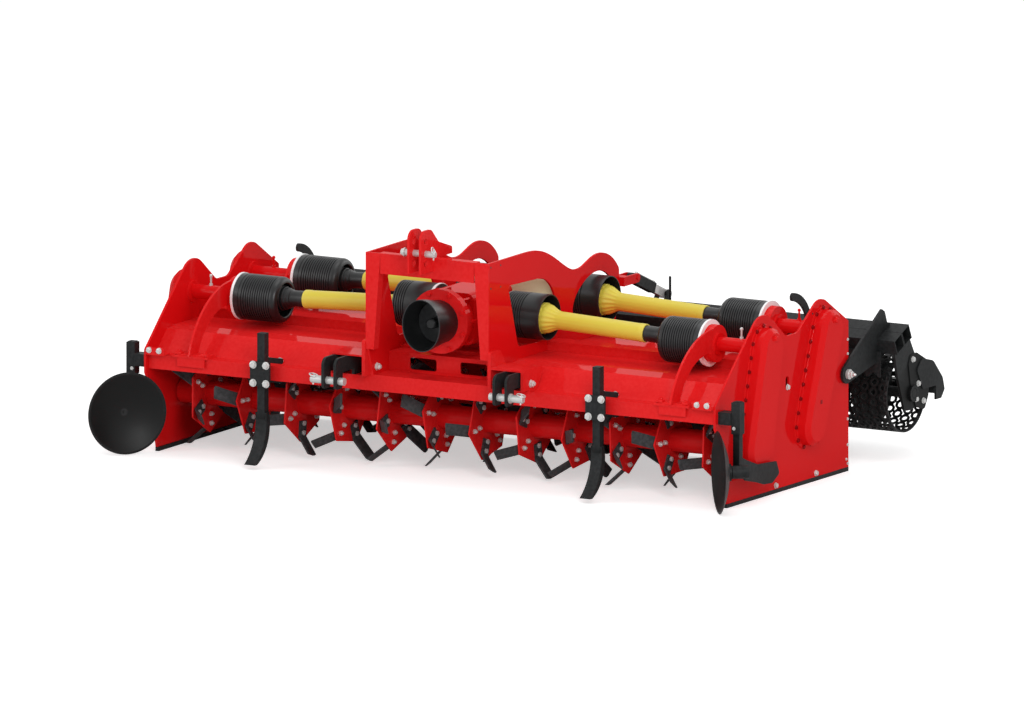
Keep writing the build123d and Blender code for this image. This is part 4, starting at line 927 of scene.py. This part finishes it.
def perforatedDrum(axis, radius, look):
    # a wall of staggered cells rolled round the axis: each cell is a square with a round hole, its
    # corner at the same angle as the hole's rim point; x runs along, angle = distance / radius
    halfLength = look["halfLength"] / 1000
    columns = int(round(2 * np.pi * radius / (look["holePitch"] / 1000)))
    columns += columns % 2
    rows = int(round(2 * halfLength / (look["holePitch"] / 1000)))
    stepX = 2 * halfLength / rows
    stepA = 2 * np.pi / columns
    holeX = look["holeRadius"] / 1000
    holeA = holeX / radius
    rim = np.arange(8) * np.pi / 4 + np.pi / 8
    cosR, sinR = np.cos(rim), np.sin(rim)
    edge = np.maximum(np.abs(cosR), np.abs(sinR))
    rowIndex, columnIndex = np.meshgrid(np.arange(rows), np.arange(columns), indexing="ij")
    centreX = (-halfLength + (rowIndex + 0.5) * stepX).ravel()[:, None]
    centreA = ((columnIndex + 0.5 * (rowIndex % 2)) * stepA).ravel()[:, None]
    flatX = np.concatenate((centreX + holeX * cosR, centreX + 0.5 * stepX * cosR / edge), axis=1)
    flatA = np.concatenate((centreA + holeA * sinR, centreA + 0.5 * stepA * sinR / edge), axis=1)
    cosA, sinA = np.cos(flatA), np.sin(flatA)
    points = np.concatenate([
        np.stack((axis[0] + flatX, axis[1] + r * cosA, axis[2] + r * sinA), axis=2)
        for r in (radius, radius - look["wall"] / 1000)
    ], axis=1)
    ring = np.arange(8)
    after = np.roll(ring, -1)
    outer = np.stack((ring, after, after + 8, ring + 8), axis=1)
    inner = np.stack((ring + 24, after + 24, after + 16, ring + 16), axis=1)
    bore = np.stack((ring + 16, after + 16, after, ring), axis=1)
    cell = np.concatenate((outer, inner, bore))
    faces = cell[None] + (np.arange(len(points)) * 32)[:, None, None]
    return points.reshape(-1, 3), faces.reshape(-1, 4).tolist()


def drumParts(axis, radius, look):
    # the perforated wall, a disc with a hub inside each end, the axle and a plain strip on each rim
    rim, hub, sides = look["rim"], look["hub"], look["sides"]
    wall, depth = look["wall"], look["endDepth"]
    strip = turned(mm(0, rim, rim, 0), radius - mm(0, 0, wall, wall), sides)
    disc = lathe(
        np.array((hub, hub, 0.999, 0.999, hub, hub)) * (radius - 0.0065),
        mm(-18, 0, 0, depth, depth, depth + 12), sides,
    )
    thick, reach = look["axleRadius"], look["axleHalf"]
    axle = lathe(
        mm(thick - 3, thick, thick, thick - 3), mm(-reach, 4 - reach, reach - 4, reach), 24
    )
    endX = (look["halfLength"] - look["endInset"] - depth) / 1000
    rimX = (look["halfLength"] - rim) / 1000
    return [perforatedDrum(axis, radius, look)] + [
        repeatShape(shape, axis + np.array((sign * offset, 0, 0)), (sign, 0, 0))
        for shape, offset, sign in (
            (disc, endX, 1), (disc, endX, -1), (axle, 0.0, 1), (strip, rimX, 1), (strip, rimX, -1)
        )
    ]


drumRadius = (high("roller")[1] - low("roller")[1]) / 2
drumPiece = newPiece(
    "perforatedDrum", *joined(drumParts(drumAxis, drumRadius, drum)), "roller_steel", "roller_drum"
)
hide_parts("roller")
print("drum made:", len(drumPiece.data.polygons), "faces")


# Rotor bolts

rotor = dict(
    flanges=12, pitch=253.3, step=27.0, leftStep=60.0, firsts=(0.0, 14.0), boltRadii=(100.0, 145.0),
    bladeFace=12.0, nutFace=4.0, bolt=0.014,
)


def rotorBolts(axisPoint, firstTurn, look):
    # flange i, hand s, blade k and bolt radius r: turn = first + step i + 120 k from upright
    # towards the front, plus the left hand's shift; the head lies on the blade's outer face and
    # the nut on the flange's other face
    i, hand, k, radius = np.meshgrid(
        np.arange(look["flanges"]), (1, -1), np.arange(3), np.array(look["boltRadii"]) / 1000,
        indexing="ij",
    )
    turn = np.radians(
        firstTurn + look["step"] * i + 120 * k + np.where(hand < 0, look["leftStep"], 0)
    ).ravel()
    radius, hand = radius.ravel(), hand.ravel()
    return np.column_stack((
        look["pitch"] / 1000 * (i - (look["flanges"] - 1) / 2).ravel(),
        axisPoint[1] - radius * np.sin(turn), axisPoint[2] + radius * np.cos(turn),
    )), hand


def boltPart(radii, heights, sides):
    # a solid of revolution in shares of the rotor bolts' thread
    return lathe(np.array(radii) * rotor["bolt"], np.array(heights) * rotor["bolt"], sides)


smallHead = boltPart((0.87, 0.87, 0.6), (0.0, 0.6, 0.74), 6)
smallNut = joinShapes(
    boltPart((0.87, 0.87), (0.0, 0.8), 6), boltPart((0.5, 0.46), (0.78, 1.3), 8)
)
for name, body, axisPoint, first in (
    ("frontRotorBolts", "front_rotor", frontRotorAxis, rotor["firsts"][0]),
    ("rearRotorBolts", "rear_rotor", rearRotorAxis, rotor["firsts"][1]),
):
    spots, hand = rotorBolts(axisPoint, first, rotor)
    side = np.column_stack((hand, np.zeros(len(hand)), np.zeros(len(hand)))).astype(float)
    newPiece(name, *joined([
        repeatShape(smallHead, spots + side * rotor["bladeFace"] / 1000, side, spinsFor(len(hand))),
        repeatShape(smallNut, spots - side * rotor["nutFace"] / 1000, -side, spinsFor(len(hand))),
    ]), "zinc_steel", body)


# Bolts on the clamps, plates, hitch bays and gearbox

plateX = sidePlate["outer"]
clampSpots = bothHands([(915 + dx, 0, 427 + dz) for dx in (-35, 35) for dz in (-44, 44)])
placed("clampBolts", hexBolt(0.018), clampSpots + (0, -24, 0), (0, -1, 0))
placed("clampNuts", hexNut(0.018), clampSpots + (0, 110, 0), (0, 1, 0))
pivotHead = joinShapes(hexBolt(0.019), lathe(mm(8, 8, 3), mm(14, 26, 34), 12))
for name, shape, rows, aim in (
    ("plateBolts", hexBolt(0.014), [(688, 474), (574, 18), (959, 18), (104, 396)], 1),
    ("edgeBolts", hexBolt(0.0068), [(1263, z) for z in (18, 108, 232, 546, 615)] + [(1250, 40)], 1),
    ("bayBolts", hexNut(0.018), [(529, 40, 500)], 1),
    ("cheekBolts", hexNut(0.018), [(323, 60, 505)], -1),
    ("pivotHeads", pivotHead, [(1591, 1233, 454)], 1),
):
    # rows without a width lie on the side plates' outer faces
    rows = [row if len(row) == 3 else (plateX, *row) for row in rows]
    onEachSide(name, shape, rows, (aim, 0, 0))
shelfBolts = bothHands([(x, y, 553) for x in (205, 285) for y in (205, 255)])
placed("shelfBolts", hexNut(0.014), shelfBolts, (0, 0, -1))
face = dict(count=8, radius=139, front=90.0)
faceTurn = np.radians(np.arange(face["count"]) * 360 / face["count"] + 22.5)
faceBolts = np.column_stack((
    face["radius"] * np.cos(faceTurn), np.full(face["count"], face["front"]),
    gearZ + face["radius"] * np.sin(faceTurn),
))
placed("faceBolts", hexBolt(0.014), faceBolts, (0, -1, 0), "red_paint")


def bevelledFaces():
    # a bevelled box's 24 points are three to a corner, one for each axis: six sides join the
    # corners' points of one axis, twelve strips join two axes along an edge, and eight triangles
    # close the corners
    corner = np.arange(8).reshape(2, 2, 2)
    loops = []
    for axis in range(3):
        for sign in (0, 1):
            square = np.take(corner, sign, axis)
            loop = np.array((square[0, 0], square[1, 0], square[1, 1], square[0, 1])) * 3 + axis
            loops.append(loop if (sign == 1) == (axis != 1) else loop[::-1])
    for axis in range(3):
        first, second = [k for k in range(3) if k != axis]
        for a in (0, 1):
            for b in (0, 1):
                pick = [slice(None)] * 3
                pick[first], pick[second] = a, b
                near, far = corner[tuple(pick)] * 3
                loop = np.array((near + first, far + first, far + second, near + second))
                loops.append(loop if (a + b + (axis == 1)) % 2 else loop[::-1])
    return loops + [np.arange(3) + 3 * k for k in range(8)]


def blocks(name, rows, slot="red_paint", body="machine", edge=1.5):
    # boxes in rows of middle and size in drawing millimetres: each corner's three points lie the
    # bevel inside two of its sides
    signs = np.array([(x, y, z) for x in (-1, 1) for y in (-1, 1) for z in (-1, 1)], float)
    parts = []
    for row in np.asarray(rows, float):
        inset = row[3:] / 2 - edge * (1 - np.eye(3))[None]
        parts.append((toSpots((signs[:, None] * inset).reshape(-1, 3) + row[:3]), bevelledFaces()))
    piece = newPiece(name, *joined(parts), slot, body)
    outward = bmesh.new()
    outward.from_mesh(piece.data)
    bmesh.ops.recalc_face_normals(outward, faces=outward.faces)
    outward.to_mesh(piece.data)
    outward.free()
    return piece


# Lugs with two bolts on each end of the beam, and straps from the arms' feet round the beam
blocks("beamLugs", bothHands([(1494, 14, 470, 104, 66, 8), (1494, -15, 487, 104, 6, 30)]))
placed("lugBolts", hexBolt(0.014), bothHands([(1468, -18, 489), (1522, -18, 489)]), (0, -1, 0))
placed("lugNuts", hexNut(0.014), bothHands([(1468, -12, 489), (1522, -12, 489)]), (0, 1, 0))
blocks("footStraps", bothHands([
    (1314, 19, 448, 150, 10, 60), (1314, 53, 470, 178, 70, 18), (1244, 30, 482, 34, 34, 12),
    (1384, 30, 482, 34, 34, 12),
]), edge=2.0)
footSpots = bothHands([(1244, 30, 488), (1384, 30, 488)])
placed("footBolts", hexBolt(0.012), footSpots, (0, 0, 1), "red_paint")

# Dipsticks on the stub tubes and filler plugs on the chain cases
stick = lathe(mm(9, 9, 5, 5, 8, 8, 4), mm(0, 10, 10, 44, 44, 52, 56), 14)
placed("dipsticks", stick, bothHands([(1448, 446, 733)]), (0, 0, 1), smooth=True)
placed("redDipsticks", stick, bothHands([(1434, 1022, 733)]), (0, 0, 1), "red_paint", smooth=True)
caseX = plateX + chainCase["depth"]
fillerSpots = [(caseX, 1022, 752), (caseX, 446, 752)]
onEachSide("fillerPlugs", hexBolt(0.016), fillerSpots, (1, 0, 0), "red_paint")

# Linchpins on the hitch pins
pinRing = ringShape(0.021, 0.003, 28, 8)
pinStem = lathe(mm(4, 4), mm(-26, 26), 10)
for name, shape, rows, axis in (
    ("linchRings", pinRing, bothHands([(566, -118, 470)]), (0.3, 0, 1)),
    ("linchStems", pinStem, bothHands([(566, -118, 451)]), (0, 0.2, 1)),
    ("topLinchRing", pinRing, [(80, -104, 1118)], (0.9, 0.2, 0.4)),
    ("topLinchStem", pinStem, [(80, -104, 1103)], (0, 0, 1)),
):
    placed(name, shape, rows, axis, smooth=True)

# Scraper comb in front of the drum
comb = dict(
    y=1512.0, top=520.0, foot=404.0, wave=13.0, waveLength=62.0, thick=5.0, half=1600.0,
    boltPitch=140,
)


def wavyPlate(look):
    # upright plate across the machine: its lower edge is foot + wave * triangle(x / waveLength)
    count = int(round(2 * look["half"] / look["waveLength"])) * 4
    n = count + 1
    x = np.linspace(-look["half"], look["half"], n)
    lower = look["foot"] + look["wave"] * np.tile((-0.6, 1.0, 1.0, -0.6), count // 4 + 1)[:n]
    sheets = [
        np.column_stack((x, np.full(n, look["y"] + side * look["thick"] / 2), edge))
        for side in (-1, 1) for edge in (lower, np.full(n, look["top"]))
    ]
    i = np.arange(count)
    front = np.stack((i, i + 1, i + 1 + n, i + n), axis=1)
    backFace = np.stack((i + 2 * n, i + 3 * n, i + 1 + 3 * n, i + 1 + 2 * n), axis=1)
    under = np.stack((i, i + 2 * n, i + 1 + 2 * n, i + 1), axis=1)
    over = np.stack((i + n, i + 1 + n, i + 1 + 3 * n, i + 3 * n), axis=1)
    ends = np.array([(0, n, 3 * n, 2 * n), (n - 1, 3 * n - 1, 4 * n - 1, 2 * n - 1)])
    return toSpots(np.concatenate(sheets)), np.concatenate((front, backFace, under, over, ends))


newPiece("scraperComb", *wavyPlate(comb), "black_paint", "roller_frame")
combFront = comb["y"] - comb["thick"] / 2
combSpots = bothHands([(x, combFront, 484) for x in range(70, 1600, comb["boltPitch"])])
placed("combBolts", hexBolt(0.012), combSpots, (0, -1, 0), "black_paint", "roller_frame")

# Handles on the adjusters' links, along the line from fork pin to rod's eye, and gauge rods
link = dict(x=329.0, pin=(1359, 790), eye=(1660, 665), along=122, above=31)
linkAim = np.array((0, link["eye"][0] - link["pin"][0], link["eye"][1] - link["pin"][1]), float)
linkAim /= np.linalg.norm(linkAim)
linkUp = np.array((0, -linkAim[2], linkAim[1]))
handle = joinShapes(
    lathe(mm(3.5, 3.5), mm(-88, 88), 10), lathe(mm(6, 6), mm(-94, -82), 10),
    lathe(mm(6, 6), mm(82, 94), 10),
)
for hand, sign, body in (("Left", -1, "left_link"), ("Right", 1, "right_link")):
    middle = np.array((sign * link["x"], *link["pin"]))
    middle = middle + linkAim * link["along"] + linkUp * link["above"]
    placed("linkHandle" + hand, handle, [middle], linkAim, body=body, smooth=True)
gauge = lathe(mm(5, 6, 6, 4), mm(0, 2, 138, 142), 12)
gaugeSpots = bothHands([(372, 1648, 612)])
placed("gaugeRods", gauge, gaugeSpots, (0, 0, 1), "black_paint", "roller_frame", smooth=True)

# Plates that join the scraper fans to the roller's end arms, with their bolts
joinPlate = dict(
    inner=1656.4, outer=1660.4,
    corners=(
        (1672, 440, 10), (1689, 482, 24), (1750, 486, 30), (1850, 436, 20), (1872, 340, 20),
        (1862, 262, 10), (1826, 200, 20), (1745, 222, 10), (1700, 300, 20),
    ),
    bolts=((1712, 458), (1762, 334), (1742, 262), (1812, 244)),
)
flatPlate(
    "rollerJoinPlates", [roundedOutline(joinPlate["corners"])], widths(joinPlate), "black_paint",
    "roller_frame",
)
fanSpots = [(joinPlate["outer"], y, z) for y, z in joinPlate["bolts"]]
onEachSide("fanBolts", hexBolt(0.014), fanSpots, (1, 0, 0), body="roller_frame")
print("fasteners made")

# Red sheet at the foot of the cross plate, thin black discs of painted shade in small holes, a square of painted
# shade on the rear case and bolts on the discs' shanks
blocks("plateFoot", [(71, 638.4, 604, 500, 2.4, 74)], edge=0.4)
# thin black discs where small holes are: painted shade in the holes
holeShadeDisc = lathe(mm(5, 5), mm(0, 0.5), 12)
holeShadeSpots = [
    (x, y, z) for x, places in (
        (centrePlate["outer"], ((-2, 1048), (92, 1045), (-2, 946), (92, 942))),
        (plateX, ((640, 664), (1030, 742), (930, 790))),
    ) for y, z in places
]
onEachSide("platePlugs", holeShadeDisc, holeShadeSpots, (1, 0, 0), "black_plastic", spins=False)
# a thin square of the darker red on the right rear case: painted shade
caseShadePatch = lathe(mm(13, 13), mm(0, 0.6), 4, math.pi / 4)
piece = placed("casePlugs", caseShadePatch, [(caseX, 888, 378)], (1, 0, 0), "red_paint", spins=False)
piece.data.materials[0] = materials["shaded_red"]
placed("shankBolts", hexBolt(0.011), bothHands([(1643, 37, 383)]), (0, -1, 0))
print("plugs made")

bpy.context.view_layer.update()
